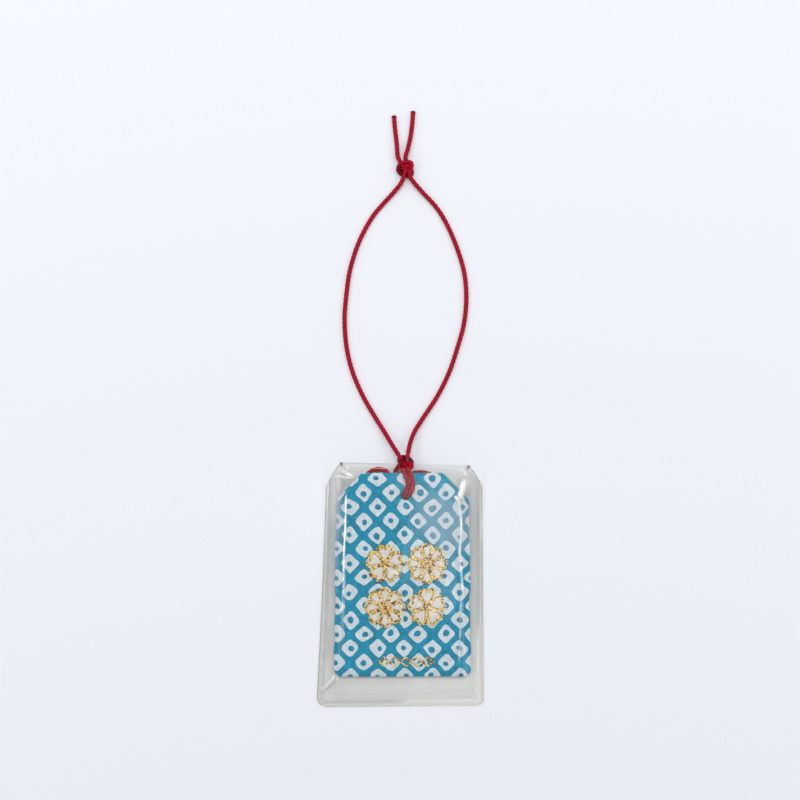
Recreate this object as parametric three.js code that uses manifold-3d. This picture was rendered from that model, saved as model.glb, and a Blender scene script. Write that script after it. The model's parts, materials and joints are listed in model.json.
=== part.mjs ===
// An omamori charm: a brocade pouch with a knotted hanging cord, kept in a clear soft sleeve.
// It lies on its back. X runs across it, Y runs up to the hanging loop and Z points off the surface.
// Lengths are in millimetres and angles in degrees. The origin is under the middle of the sleeve.

import * as THREE from 'three';
import { mergeVertices } from 'three/addons/utils/BufferGeometryUtils.js';
import Module from 'manifold-3d';

const wasm = await Module();
wasm.setup();

// Clear sleeve: a flat back film, and a front film that stands over the pouch like a tent.
const sleeveWidth = 53.2;
const sleeveHeight = 78.0;
const sleeveCornerRadius = 3.3;
const filmThickness = 0.3;
const weldWidth = 1.0;
const leftDrawIn = 2.6;
const rightDrawIn = 0.5;
const shoulderDrop = 7.6;
const leftShoulderRun = 4.5;
const rightShoulderRun = 4.1;
const mouthSlant = 1.0;
const frontMouthDrop = 1.1;
const leftRampRun = 4.4;
const rightRampRun = 3.1;
const filmClearance = 0.15;

// Brocade pouch: two panels that close on each other round the edge and stand apart over what they hold.
const pouchBottomWidth = 43.6;
const pouchTopWidth = 42.6;
const pouchHeight = 65.0;
const pouchThickness = 2.9;
const pouchShoulder = 8.4;
const pouchCornerClip = 1.3;
const pouchOffset = 0.5;
const emptyBand = 9.7;
const brocadeThickness = 0.5;
const seamGap = 0.1;
const edgeRound = 3.0;
const layerGap = 0.05;
const holeDiameter = 3.7;
const holeBelowTop = 7.6;
const holeOffset = 1.0;

// What the pouch holds: a wooden slip in folded paper between two stiff cards.
const cardSideGap = 3.3;
const cardTopGap = 11.4;
const cardInset = 3.6;
const cardThickness = 0.3;
const cardClip = 3.0;
const slipSideGap = 7.0;
const slipTopGap = 6.0;
const slipThickness = 0.8;
const slipShoulder = 4.0;
const paperThickness = 0.12;
const paperTopGap = 4.0;

// Embroidery: four flowers of white satin stitch edged with gold cord, and a row of small gold lozenges.
const flowerRadius = 6.7;
const flowerPitchX = 13.4;
const flowerPitchY = 14.0;
const flowerCentreX = 1.1;
const flowerCentreY = 29.3;
const flowerEye = 1.3;
const blossomNotch = 1.1;
const goldCordWidth = 0.9;
const satinThickness = 0.4;
const goldThickness = 0.5;
const lozengeWidth = 3.5;
const lozengeHeight = 3.4;
const lozengeLine = 0.55;
const lozengeNeck = 0.5;
const lozengeCount = 5;
const lozengeRowY = 4.8;
const lozengeThickness = 0.3;
const blossomCleftShare = 0.66;
const rosetteCleftShare = 0.74;
const petalFullnessShare = 0.55;
const blossomNotchShare = 0.42;

// Crimson cord, the knot behind the pouch, the base knot above it and the knot at the top of the loop.
const cordDiameter = 1.45;
const cordRestGap = 0.075;
const rearKnotX = -0.9;
const rearKnotBelowTop = 4.1;
const rearKnotPitch = 1.5;
const rearKnotReach = 2.6;
const rearKnotLift = 0.62;
const rearKnotStrands = 4;
const baseKnotX = 1.3;
const baseKnotAboveTop = 3.6;
const baseKnotZ = 4.0;
const baseKnotWidth = 5.1;
const baseKnotHeight = 4.2;
const baseKnotDepth = 3.6;
const topKnotX = 0.8;
const topKnotAboveTop = 97.6;
const topKnotZ = 2.1;
const topKnotWidth = 6.0;
const topKnotHeight = 4.8;
const topKnotDepth = 4.0;
const overhandTailShare = 2.02;

// Measures of the model itself: how finely curves are cut, and how far a cutting prism overruns.
const cordSides = 8;
const knotSides = 6;
const cordStep = 3.4;
const bendStep = 1.2;
const cutOverrun = 20.0;
const edgeOverrun = 1.0;
const slopeProbe = 0.02;
const holeSegments = 16;
const blossomSegments = 6;
const rosetteSegments = 3;
const pieceSegments = 3;
const weavePieces = 3;
const overhandPieces = 9;
const leftRampShares = [0, 0.08, 0.2, 0.36, 0.56, 0.78, 0.88, 1];
const rightRampShares = [1, 0.78, 0.56, 0.36, 0.2, 0.08, 0];
const bottomRampShares = [0, 0.08, 0.2, 0.36, 0.56, 0.78, 1];
const sleeveMiddleShares = [0.34, 0.67];
const sleeveUpShares = [0.25, 0.5, 0.75, 1];
const panelEdgeShares = [0, 0.3, 0.65, 1];
const panelCornerShares = [0.35, 0.7, 1];

// Materials.
const clearFilm = new THREE.MeshStandardMaterial({
  color: '#d9dcd6',
  roughness: 0.12,
  metalness: 0,
  transparent: true,
  opacity: 0.35,
});
const brocade = new THREE.MeshStandardMaterial({ color: '#1e8fb8', roughness: 0.8, metalness: 0 });
const card = new THREE.MeshStandardMaterial({ color: '#e8e2d2', roughness: 0.9, metalness: 0 });
const paper = new THREE.MeshStandardMaterial({ color: '#f6f3ea', roughness: 0.9, metalness: 0 });
const wood = new THREE.MeshStandardMaterial({ color: '#d8b98a', roughness: 0.7, metalness: 0 });
const satin = new THREE.MeshStandardMaterial({ color: '#eceae6', roughness: 0.5, metalness: 0 });
const gold = new THREE.MeshStandardMaterial({ color: '#c9942e', roughness: 0.35, metalness: 0.7 });
const crimson = new THREE.MeshStandardMaterial({ color: '#b01030', roughness: 0.6, metalness: 0 });

// Sizes that follow from the ones above.
const pouchRestZ = filmThickness + filmClearance;
const pouchMiddleZ = pouchRestZ + pouchThickness / 2;
const pouchBottomY = emptyBand - sleeveHeight / 2;
const pouchTopY = pouchBottomY + pouchHeight;
const rearKnotThickness = cordDiameter + 2 * rearKnotLift;
const rearKnotZ = pouchRestZ + rearKnotThickness / 2;
const rearKnotLowEdge = pouchTopY - rearKnotBelowTop - (rearKnotStrands * rearKnotPitch) / 2;
const leanRise = rearKnotThickness + filmClearance;
const leanRun = rearKnotLowEdge - pouchBottomY;
const lean = Math.asin(leanRise / leanRun);
const cardWidth = Math.min(pouchTopWidth, pouchBottomWidth) - 2 * cardSideGap;
const cardHeight = pouchHeight - cardInset - cardTopGap;
const slipWidth = cardWidth - 2 * slipSideGap;
const slipHeight = cardHeight - slipTopGap;
const paperHeight = slipHeight - paperTopGap;
const panelCavity = (pouchThickness - seamGap) / 2 - brocadeThickness;
const stitchHeight = layerGap + satinThickness + layerGap + goldThickness;
const strapHeight = 2 * filmClearance + cordDiameter;
const bottomRampRun = emptyBand - weldWidth - filmClearance;
const cordRestZ = cordDiameter / 2 + cordRestGap;

function mesh(name, geometry, material) {
  const made = new THREE.Mesh(geometry, material);
  made.name = name;
  return made;
}

function solidOf(geometry) {
  const bare = new THREE.BufferGeometry();
  bare.setAttribute('position', geometry.getAttribute('position'));
  bare.setIndex(geometry.index);
  const merged = mergeVertices(bare);
  const vertProperties = merged.getAttribute('position').array;
  const triVerts = new Uint32Array(merged.index.array);
  return new wasm.Manifold(new wasm.Mesh({ numProp: 3, vertProperties, triVerts }));
}

function geometryOf(solid) {
  const { vertProperties, triVerts } = solid.getMesh();
  const geometry = new THREE.BufferGeometry();
  geometry.setAttribute('position', new THREE.BufferAttribute(vertProperties, 3));
  geometry.setIndex(new THREE.BufferAttribute(triVerts, 1));
  geometry.computeVertexNormals();
  return geometry;
}

function plate(shape, thickness, lowZ) {
  const options = { depth: thickness, bevelEnabled: false, curveSegments: holeSegments };
  return new THREE.ExtrudeGeometry(shape, options).translate(0, 0, lowZ);
}

// A tall prism of an outline, to cut or trim a thin piece with.
function prism(shape) {
  return solidOf(plate(shape, 2 * cutOverrun, -cutOverrun));
}

function shapeThrough(points) {
  return new THREE.Shape(points.map(([x, y]) => new THREE.Vector2(x, y)));
}

// A closed shell: the surface that heightAt gives, thickened outwards along its own normal.
function shell(xs, ys, heightAt, thickness) {
  const positions = [];
  const index = [];
  const across = xs.length;
  const layer = across * ys.length;
  for (const offset of [0, thickness]) {
    for (const y of ys) {
      for (const x of xs) {
        const slopeX = heightAt(x + slopeProbe, y) - heightAt(x - slopeProbe, y);
        const slopeY = heightAt(x, y + slopeProbe) - heightAt(x, y - slopeProbe);
        const normal = new THREE.Vector3(-slopeX, -slopeY, 2 * slopeProbe).setLength(1);
        positions.push(x + normal.x * offset, y + normal.y * offset, heightAt(x, y) + normal.z * offset);
      }
    }
  }
  const quad = (a, b, c, d) => index.push(a, b, c, a, c, d);
  for (let row = 0; row < ys.length - 1; row += 1) {
    for (let column = 0; column < across - 1; column += 1) {
      const low = row * across + column;
      quad(low, low + across, low + across + 1, low + 1);
      quad(layer + low, layer + low + 1, layer + low + across + 1, layer + low + across);
    }
    const left = row * across;
    const right = left + across - 1;
    quad(left, layer + left, layer + left + across, left + across);
    quad(right, right + across, layer + right + across, layer + right);
  }
  const topRow = (ys.length - 1) * across;
  for (let column = 0; column < across - 1; column += 1) {
    const top = topRow + column;
    quad(column, column + 1, layer + column + 1, layer + column);
    quad(top, layer + top, layer + top + 1, top + 1);
  }
  const geometry = new THREE.BufferGeometry();
  geometry.setAttribute('position', new THREE.Float32BufferAttribute(positions, 3));
  geometry.setIndex(index);
  return geometry;
}

// A cord along hand-chosen points.
function cordAlong(points, step) {
  const route = new THREE.CatmullRomCurve3(points.map((p) => new THREE.Vector3(...p)));
  const section = new THREE.Shape();
  section.absarc(0, 0, cordDiameter / 2, 0, 2 * Math.PI);
  const steps = Math.ceil(route.getLength() / step);
  const curveSegments = cordSides / 2;
  return new THREE.ExtrudeGeometry(section, { steps, extrudePath: route, curveSegments });
}

// A knot in one body: the cord is swept piece by piece along each route and the pieces are joined.
// A hollow that the strands shut in between them is filled.
function knotAlong(routes, pieces) {
  let knot = null;
  const segments = pieces * pieceSegments;
  for (const route of routes) {
    const frames = route.computeFrenetFrames(segments, false);
    const rings = [];
    for (let ring = 0; ring <= segments; ring += 1) {
      const centre = route.getPointAt(ring / segments);
      const points = [];
      for (let side = 0; side < knotSides; side += 1) {
        const turn = (side / knotSides) * 2 * Math.PI;
        const out = frames.normals[ring].clone().multiplyScalar(Math.cos(turn) * (cordDiameter / 2));
        out.addScaledVector(frames.binormals[ring], Math.sin(turn) * (cordDiameter / 2));
        points.push(centre.clone().add(out));
      }
      rings.push(points);
    }
    for (let piece = 0; piece < pieces; piece += 1) {
      const first = piece * pieceSegments;
      const part = solidOf(tubeThrough(rings.slice(first, first + pieceSegments + 1)));
      knot = knot ? knot.add(part) : part;
    }
  }
  const skin = knot.decompose().find((body) => body.volume() > 0);
  return geometryOf(skin);
}

function tubeThrough(rings) {
  const positions = rings.flat().flatMap((p) => [p.x, p.y, p.z]);
  const index = [];
  const sides = rings[0].length;
  const last = (rings.length - 1) * sides;
  for (let ring = 0; ring < rings.length - 1; ring += 1) {
    for (let side = 0; side < sides; side += 1) {
      const a = ring * sides + side;
      const b = ring * sides + ((side + 1) % sides);
      index.push(a, b, b + sides, a, b + sides, a + sides);
    }
  }
  for (let side = 1; side < sides - 1; side += 1) {
    index.push(0, side + 1, side, last, last + side, last + side + 1);
  }
  const geometry = new THREE.BufferGeometry();
  geometry.setAttribute('position', new THREE.Float32BufferAttribute(positions, 3));
  geometry.setIndex(index);
  return geometry;
}

// The overhand knot as a curve: the cord climbs, turns over, falls through the middle, turns and climbs on.
class OverhandKnot extends THREE.Curve {
  constructor(centre, width, height, depth) {
    super();
    Object.assign(this, { centre, width, height, depth });
  }

  getPoint(share, target = new THREE.Vector3()) {
    const t = (2 * share - 1) * overhandTailShare;
    const up = (t ** 3 - 3 * t) / 2;
    const side = (t ** 4 - 4 * t ** 2) / 4;
    const out = (t ** 5 - 10 * t) / 12;
    const x = (side + 1 / 2) * this.width;
    return target.set(x, up * (this.height / 2), out * (this.depth / 2)).add(this.centre);
  }
}

function between(from, to, shares) {
  return shares.map((share) => from + (to - from) * share);
}

// The sleeve's outline, with its mouth lowered by a drop: round bottom corners, cut shoulders.
function sleeveOutline(mouthDrop) {
  const half = sleeveWidth / 2;
  const bottom = -sleeveHeight / 2;
  const top = sleeveHeight / 2;
  const shoulderY = top - shoulderDrop;
  const leftTip = [-half + leftDrawIn + leftShoulderRun, top];
  const rightTip = [half - rightDrawIn - rightShoulderRun, top - mouthSlant];
  const leftDropX = (mouthDrop / shoulderDrop) * leftShoulderRun;
  const rightDropX = (mouthDrop / shoulderDrop) * rightShoulderRun;
  const r = sleeveCornerRadius;
  const shape = new THREE.Shape();
  shape.moveTo(-half + r, bottom);
  shape.lineTo(half - r, bottom);
  shape.absarc(half - r, bottom + r, r, -Math.PI / 2, 0, false);
  shape.lineTo(half - rightDrawIn, shoulderY);
  shape.lineTo(rightTip[0] + rightDropX, rightTip[1] - mouthDrop);
  shape.lineTo(leftTip[0] - leftDropX, leftTip[1] - mouthDrop);
  shape.lineTo(-half + leftDrawIn, shoulderY);
  shape.lineTo(-half, bottom + r);
  shape.absarc(-half + r, bottom + r, r, Math.PI, (3 * Math.PI) / 2, false);
  return shape;
}

// Inner edge of the weld: it follows the side up to the shoulder and runs straight on above it.
function weldEdge(y, drawIn) {
  const straight = sleeveHeight - shoulderDrop;
  return sleeveWidth / 2 - weldWidth - (drawIn * (y + sleeveHeight / 2)) / straight;
}

function rounded(distance, run) {
  return Math.sin((Math.PI / 2) * THREE.MathUtils.clamp(distance / run, 0, 1));
}

// Height of the pouch's face plane over the surface, and of the film's inside over that.
function filmInside(x, y) {
  const up = y - pouchBottomY;
  const face = pouchMiddleZ + up * Math.tan(lean) + pouchThickness / 2 / Math.cos(lean);
  const bottomRise = stitchHeight + filmClearance;
  const rise = bottomRise + (strapHeight - bottomRise) * (up / pouchHeight);
  const fromLeft = rounded(x + weldEdge(y, leftDrawIn), leftRampRun);
  const fromRight = rounded(weldEdge(y, rightDrawIn) - x, rightRampRun);
  const fromBottom = rounded(y + sleeveHeight / 2 - weldWidth, bottomRampRun);
  return filmThickness + (face + rise - filmThickness) * fromLeft * fromRight * fromBottom;
}

function sleeve() {
  const half = sleeveWidth / 2;
  const bottom = -sleeveHeight / 2;
  const leftWeld = -half + weldWidth;
  const rightWeld = half - weldWidth;
  const leftTop = leftWeld + leftDrawIn + leftRampRun;
  const rightTop = rightWeld - rightDrawIn - rightRampRun;
  const xs = [
    -half - edgeOverrun,
    ...between(leftWeld, leftTop, leftRampShares),
    ...between(leftTop, rightTop, sleeveMiddleShares),
    ...between(rightWeld, rightTop, rightRampShares),
    half + edgeOverrun,
  ];
  const rampTop = bottom + weldWidth + bottomRampRun;
  const ys = [
    bottom - edgeOverrun,
    ...between(bottom + weldWidth, rampTop, bottomRampShares),
    ...between(rampTop, -bottom + edgeOverrun, sleeveUpShares),
  ];
  const front = solidOf(shell(xs, ys, filmInside, filmThickness));
  return [
    mesh('sleeve_back_film', plate(sleeveOutline(0), filmThickness, 0), clearFilm),
    mesh('sleeve_front_film', geometryOf(front.intersect(prism(sleeveOutline(frontMouthDrop)))), clearFilm),
  ];
}

// The pouch in its own frame: X and Y from the middle of its bottom edge, Z from its middle plane.
function pouchOutline() {
  const low = pouchBottomWidth / 2;
  const high = pouchTopWidth / 2;
  const shoulderY = pouchHeight - pouchShoulder;
  return [
    [-low + pouchCornerClip, 0],
    [low - pouchCornerClip, 0],
    [low, pouchCornerClip],
    [high, shoulderY],
    [high - pouchShoulder, pouchHeight],
    [-high + pouchShoulder, pouchHeight],
    [-high, shoulderY],
    [-low, pouchCornerClip],
  ];
}

// How far a place on the pouch lies inside the nearest straight edge of its outline.
function insideEdge(x, y) {
  const corners = pouchOutline();
  const distances = corners.map(([ax, ay], at) => {
    const [bx, by] = corners[(at + 1) % corners.length];
    return ((bx - ax) * (y - ay) - (by - ay) * (x - ax)) / Math.hypot(bx - ax, by - ay);
  });
  return Math.min(...distances);
}

function panel(turned) {
  const half = pouchBottomWidth / 2;
  const edge = (from, way) => [
    from - way * edgeOverrun,
    ...between(from, from + way * edgeRound, panelEdgeShares),
    ...between(from + way * edgeRound, from + way * (edgeRound + pouchShoulder), panelCornerShares),
  ];
  const xs = [...edge(-half, 1), ...edge(half, -1).reverse()];
  const bottomYs = [-edgeOverrun, ...between(0, edgeRound, panelEdgeShares)];
  const ys = [...bottomYs, pouchHeight / 2, ...edge(pouchHeight, -1).reverse()];
  const inside = (x, y) => seamGap / 2 + panelCavity * rounded(insideEdge(x, y), edgeRound);
  const surface = shell(xs, ys, inside, brocadeThickness);
  if (turned) surface.rotateY(Math.PI);
  const hole = new THREE.Shape();
  hole.absarc(holeOffset, pouchHeight - holeBelowTop, holeDiameter / 2, 0, 2 * Math.PI);
  return geometryOf(solidOf(surface).intersect(prism(shapeThrough(pouchOutline()))).subtract(prism(hole)));
}

function contents() {
  const slipHalf = slipWidth / 2;
  const slip = shapeThrough([
    [-slipHalf, 0],
    [slipHalf, 0],
    [slipHalf, slipHeight - slipShoulder],
    [0, slipHeight],
    [-slipHalf, slipHeight - slipShoulder],
  ]);
  const cardHalf = cardWidth / 2;
  const cardShape = shapeThrough([
    [-cardHalf, 0],
    [cardHalf, 0],
    [cardHalf, cardHeight - cardClip],
    [cardHalf - cardClip, cardHeight],
    [-cardHalf + cardClip, cardHeight],
    [-cardHalf, cardHeight - cardClip],
  ]);
  const paperLow = slipThickness / 2 + layerGap;
  const paperHigh = paperLow + paperThickness;
  const cardLow = paperHigh + layerGap;
  const foldHalf = slipHalf + layerGap;
  const ring = shapeThrough([
    [-foldHalf - paperThickness, -paperHigh],
    [foldHalf + paperThickness, -paperHigh],
    [foldHalf + paperThickness, paperHigh],
    [-foldHalf - paperThickness, paperHigh],
  ]);
  ring.holes.push(
    shapeThrough([
      [-foldHalf, -paperLow],
      [-foldHalf, paperLow],
      [foldHalf, paperLow],
      [foldHalf, -paperLow],
    ]),
  );
  const wrapper = plate(ring, paperHeight, 0).rotateX(-Math.PI / 2).translate(0, cardInset, 0);
  const atInset = (geometry) => geometry.translate(0, cardInset, 0);
  return [
    mesh('wooden_slip', atInset(plate(slip, slipThickness, -slipThickness / 2)), wood),
    mesh('slip_wrapper', wrapper, paper),
    mesh('stiffener_card_front', atInset(plate(cardShape, cardThickness, cardLow)), card),
    mesh('stiffener_card_back', atInset(plate(cardShape, cardThickness, -cardLow - cardThickness)), card),
  ];
}

// A flower's edge: how far out a petal reaches at an angle from its own middle line.
function petalReach(flower, angle) {
  const half = Math.PI / flower.petals;
  const swell = Math.cos((angle / half) * (Math.PI / 2)) ** petalFullnessShare;
  const nick = Math.max(0, 1 - Math.abs(angle) / (half * blossomNotchShare)) * flower.notch;
  return flowerRadius * (flower.cleftShare + (1 - flower.cleftShare) * swell) - nick;
}

function polar(radius, angle) {
  return [radius * Math.cos(angle), radius * Math.sin(angle)];
}

function petalAngles(flower) {
  return [...Array(flower.petals).keys()].map((at) => Math.PI / 2 + (at * 2 * Math.PI) / flower.petals);
}

function flowerEdge(flower) {
  const half = Math.PI / flower.petals;
  return petalAngles(flower).flatMap((axis) => {
    const steps = [...Array(2 * flower.segments).keys()];
    return steps.map((step) => {
      const angle = half * (step / flower.segments - 1);
      return polar(petalReach(flower, angle), axis + angle);
    });
  });
}

// The bare place inside one petal, which the white satin fills.
function petalWindow(flower, axis) {
  const half = Math.PI / flower.petals;
  const sideAngle = (radius) => half - Math.asin(goldCordWidth / 2 / radius);
  const outer = flowerRadius * flower.cleftShare - goldCordWidth;
  const inner = Math.max(flowerEye, goldCordWidth / Math.sin(half));
  const widest = sideAngle(outer);
  const points = [polar(inner, axis + sideAngle(inner)), polar(inner, axis - sideAngle(inner))];
  for (let step = 0; step <= 2 * flower.segments; step += 1) {
    const angle = widest * (step / flower.segments - 1);
    points.push(polar(petalReach(flower, angle) - goldCordWidth, axis + angle));
  }
  return shapeThrough(points);
}

function flowerPieces(place, flower, x, y) {
  const satinZ = pouchThickness / 2 + layerGap;
  const goldZ = satinZ + satinThickness + layerGap;
  const outline = shapeThrough(flowerEdge(flower));
  petalAngles(flower).forEach((axis) => outline.holes.push(petalWindow(flower, axis)));
  const fill = plate(shapeThrough(flowerEdge(flower)), satinThickness, satinZ);
  return [
    mesh('satin_fill_' + place, fill.translate(x, y, 0), satin),
    mesh('gold_outline_' + place, plate(outline, goldThickness, goldZ).translate(x, y, 0), gold),
  ];
}

function lozengeRow() {
  const top = [];
  const bottom = [];
  const start = flowerCentreX - (lozengeCount * lozengeWidth) / 2;
  const windows = [];
  for (let at = 0; at < lozengeCount; at += 1) {
    const left = start + at * lozengeWidth;
    const middle = left + lozengeWidth / 2;
    top.push([left, lozengeRowY + lozengeNeck / 2], [middle, lozengeRowY + lozengeHeight / 2]);
    bottom.push([left, lozengeRowY - lozengeNeck / 2], [middle, lozengeRowY - lozengeHeight / 2]);
    windows.push(
      shapeThrough([
        [left + lozengeLine, lozengeRowY],
        [middle, lozengeRowY - lozengeHeight / 2 + lozengeLine],
        [left + lozengeWidth - lozengeLine, lozengeRowY],
        [middle, lozengeRowY + lozengeHeight / 2 - lozengeLine],
      ]),
    );
  }
  const end = start + lozengeCount * lozengeWidth;
  top.push([end, lozengeRowY + lozengeNeck / 2]);
  bottom.push([end, lozengeRowY - lozengeNeck / 2]);
  const chain = shapeThrough([...bottom, ...top.reverse()]);
  chain.holes.push(...windows);
  const row = plate(chain, lozengeThickness, pouchThickness / 2 + layerGap);
  return mesh('gold_stitch_row', row, gold);
}

function pouch() {
  const blossom = { petals: 5, segments: blossomSegments, notch: blossomNotch };
  blossom.cleftShare = blossomCleftShare;
  const rosette = { petals: 8, segments: rosetteSegments, notch: 0 };
  rosette.cleftShare = rosetteCleftShare;
  const left = flowerCentreX - flowerPitchX / 2;
  const right = flowerCentreX + flowerPitchX / 2;
  const low = flowerCentreY - flowerPitchY / 2;
  const high = flowerCentreY + flowerPitchY / 2;
  const group = new THREE.Group();
  group.add(
    mesh('pouch_front_panel', panel(false), brocade),
    mesh('pouch_back_panel', panel(true), brocade),
    ...contents(),
    ...flowerPieces('upper_left', blossom, left, high),
    ...flowerPieces('upper_right', rosette, right, high),
    ...flowerPieces('lower_left', rosette, left, low),
    ...flowerPieces('lower_right', blossom, right, low),
    lozengeRow(),
  );
  group.position.set(pouchOffset, pouchBottomY, pouchMiddleZ);
  group.rotation.x = lean;
  return group;
}

// The ornamental knot behind the pouch: a woven square of four strands each way, with two loops a side.
class WovenStrand extends THREE.Curve {
  constructor(line, upright) {
    super();
    Object.assign(this, { line, upright });
  }

  getPoint(share, target = new THREE.Vector3()) {
    const along = (2 * share - 1) * rearKnotReach;
    const place = (this.line - (rearKnotStrands - 1) / 2) * rearKnotPitch;
    const phase = (along / rearKnotPitch + this.line + (this.upright ? 1 : 0)) * Math.PI;
    const lift = Math.cos(phase - Math.PI / 2) * rearKnotLift;
    return this.upright ? target.set(place, along, lift) : target.set(along, place, lift);
  }
}

function rearKnot() {
  const strands = [];
  for (let line = 0; line < rearKnotStrands; line += 1) {
    strands.push(new WovenStrand(line, false), new WovenStrand(line, true));
  }
  const core = knotAlong(strands, weavePieces).translate(rearKnotX, -rearKnotBelowTop, rearKnotZ);
  const high = 0;
  const low = filmThickness + filmClearance + cordDiameter / 2 - rearKnotZ;
  const loops = {
    left_outer: [
      [-3.35, 2.4, high],
      [-4.1, 4.4, low],
      [-6.8, 5.3, low],
      [-9.9, 4.0, low],
      [-11.25, 0.8, low],
      [-9.9, -2.6, low],
      [-6.8, -3.9, low],
      [-4.6, -3.5, low],
      [-3.35, -2.35, high],
    ],
    left_inner: [
      [-3.35, 0.8, high],
      [-4.75, 1.5, low],
      [-6.7, 3.55, low],
      [-8.7, 2.7, low],
      [-9.6, 0.6, low],
      [-8.7, -1.5, low],
      [-6.6, -2.25, low],
      [-4.6, -1.55, low],
      [-3.35, -0.8, high],
    ],
    right_outer: [
      [3.5, 2.4, high],
      [4.2, 3.75, low],
      [7.0, 4.2, low],
      [10.4, 3.2, low],
      [12.2, 0.3, low],
      [10.6, -2.7, low],
      [7.2, -3.8, low],
      [4.7, -3.5, low],
      [3.5, -2.35, high],
    ],
    right_inner: [
      [3.35, 0.8, high],
      [4.9, 1.55, low],
      [7.0, 2.5, low],
      [9.6, 1.75, low],
      [10.5, 0.2, low],
      [9.5, -1.5, low],
      [7.1, -2.15, low],
      [4.8, -1.6, low],
      [3.35, -0.8, high],
    ],
  };
  const pieces = [mesh('rear_knot_core', core, crimson)];
  for (const [place, points] of Object.entries(loops)) {
    const loop = cordAlong(points, bendStep);
    pieces.push(mesh('rear_ear_' + place, loop.translate(rearKnotX, -rearKnotBelowTop, rearKnotZ), crimson));
  }
  return pieces;
}

// The strands that hold the pouch: two over its top edge into the hole, two up its back.
function straps() {
  const routes = {
    front_strap_left: [
      [0.2, 1.35, 4.6],
      [0.25, 1.25, 5.9],
      [0.5, 0.4, 6.95],
      [1.2, -1.1, 7.4],
      [2.0, -3.1, 7.35],
      [1.85, -5.1, 7.2],
      [0.6, -7.0, 6.9],
      [0.22, -7.65, 5.6],
      [0.22, -7.7, 4.2],
      [0.22, -7.7, 3.0],
    ],
    front_strap_right: [
      [1.75, 1.35, 4.6],
      [1.85, 1.25, 5.9],
      [2.15, 0.4, 6.95],
      [2.9, -1.1, 7.4],
      [3.6, -3.1, 7.35],
      [3.4, -5.3, 7.2],
      [2.3, -7.0, 6.9],
      [1.77, -7.65, 5.6],
      [1.77, -7.7, 4.2],
      [1.77, -7.7, 3.0],
    ],
    rear_strand_left: [
      [-1.7, -0.65, 2.0],
      [-2.4, 0.1, 2.2],
      [-2.2, 0.9, 2.6],
      [-1.3, 1.7, 3.0],
    ],
    rear_strand_right: [
      [-0.1, -0.65, 2.0],
      [0.2, -0.1, 2.1],
      [0.6, 0.6, 2.4],
      [0.9, 1.3, 2.8],
    ],
  };
  return Object.entries(routes).map(([name, points]) => {
    return mesh(name, cordAlong(points, bendStep), crimson);
  });
}

function overhand({ x, y, z, width, height, depth }) {
  const strands = [-cordDiameter / 2, cordDiameter / 2].map((shift) => {
    const centre = new THREE.Vector3(x + shift, y, z);
    return new OverhandKnot(centre, width - 2 * cordDiameter, height - cordDiameter, depth - cordDiameter);
  });
  return knotAlong(strands, overhandPieces);
}

function baseKnot() {
  const sizes = { width: baseKnotWidth, height: baseKnotHeight, depth: baseKnotDepth };
  return mesh('base_knot', overhand({ x: baseKnotX, y: baseKnotAboveTop, z: baseKnotZ, ...sizes }), crimson);
}

// The hanging loop: two strands that lie on the surface, tied together, and their cut ends.
function hangingLoop() {
  const sizes = { width: topKnotWidth, height: topKnotHeight, depth: topKnotDepth };
  const routes = {
    loop_strand_left: [
      [-1.4, 5.8, 4.0],
      [-3.5, 9.3, 3.1],
      [-5.8, 13.1, 2.0],
      [-8.2, 16.9, 1.2],
      [-12.7, 24.6, cordRestZ],
      [-16.0, 32.3, cordRestZ],
      [-17.9, 40.0, cordRestZ],
      [-18.6, 49.3, cordRestZ],
      [-18.0, 57.3, cordRestZ],
      [-16.8, 65.3, cordRestZ],
      [-13.8, 74.5, cordRestZ],
      [-9.6, 82.2, cordRestZ],
      [-6.4, 86.1, 0.95],
      [-2.9, 89.9, 1.35],
      [-0.4, 93.3, 1.9],
      [0, 94.5, 2.1],
    ],
    loop_strand_right: [
      [1.8, 6.5, 4.0],
      [2.4, 9.3, 3.1],
      [3.8, 13.1, 2.0],
      [5.9, 16.9, 1.2],
      [11.0, 24.6, cordRestZ],
      [15.0, 32.3, cordRestZ],
      [17.6, 40.0, cordRestZ],
      [19.7, 47.7, cordRestZ],
      [20.5, 56.3, cordRestZ],
      [19.7, 64.8, cordRestZ],
      [16.6, 74.5, cordRestZ],
      [12.9, 82.2, cordRestZ],
      [10.1, 86.1, 0.95],
      [6.5, 89.9, 1.35],
      [3.2, 93.3, 1.9],
      [1.9, 94.7, 2.1],
    ],
    cord_end_left: [
      [-1.2, 100.7, 2.2],
      [-1.6, 102.7, 1.9],
      [-1.8, 105.5, 1.3],
      [-2.0, 108.3, 0.9],
      [-2.5, 111.3, cordRestZ],
      [-2.7, 114.2, cordRestZ],
    ],
    cord_end_right: [
      [1.0, 100.7, 2.2],
      [1.4, 102.9, 1.9],
      [2.0, 105.5, 1.3],
      [2.6, 108.3, 0.9],
      [3.1, 111.8, cordRestZ],
      [3.5, 115.6, cordRestZ],
    ],
  };
  const strands = Object.entries(routes).map(([name, points]) => {
    return mesh(name, cordAlong(points, cordStep), crimson);
  });
  const knot = overhand({ x: topKnotX, y: topKnotAboveTop, z: topKnotZ, ...sizes });
  return [...strands, mesh('top_knot', knot, crimson)];
}

// Everything made of cord, placed from the middle of the pouch's top edge.
function cords() {
  const group = new THREE.Group();
  group.add(...rearKnot(), ...straps(), baseKnot(), ...hangingLoop());
  group.position.set(pouchOffset, pouchTopY, 0);
  return group;
}

const charm = new THREE.Group();
charm.add(...sleeve(), pouch(), cords());

export default charm;
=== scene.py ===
"""Omamori charm: a brocade pouch with a knotted hanging cord, in a clear soft sleeve.

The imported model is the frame. Every soft piece is made here at a finer grain than the model's
plain solids: the films, the brocade panels, the stitched flowers and every turn of the cord.
Sizes in the classes are in millimetres, and meshes are written in metres.
"""

from __future__ import annotations

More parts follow.
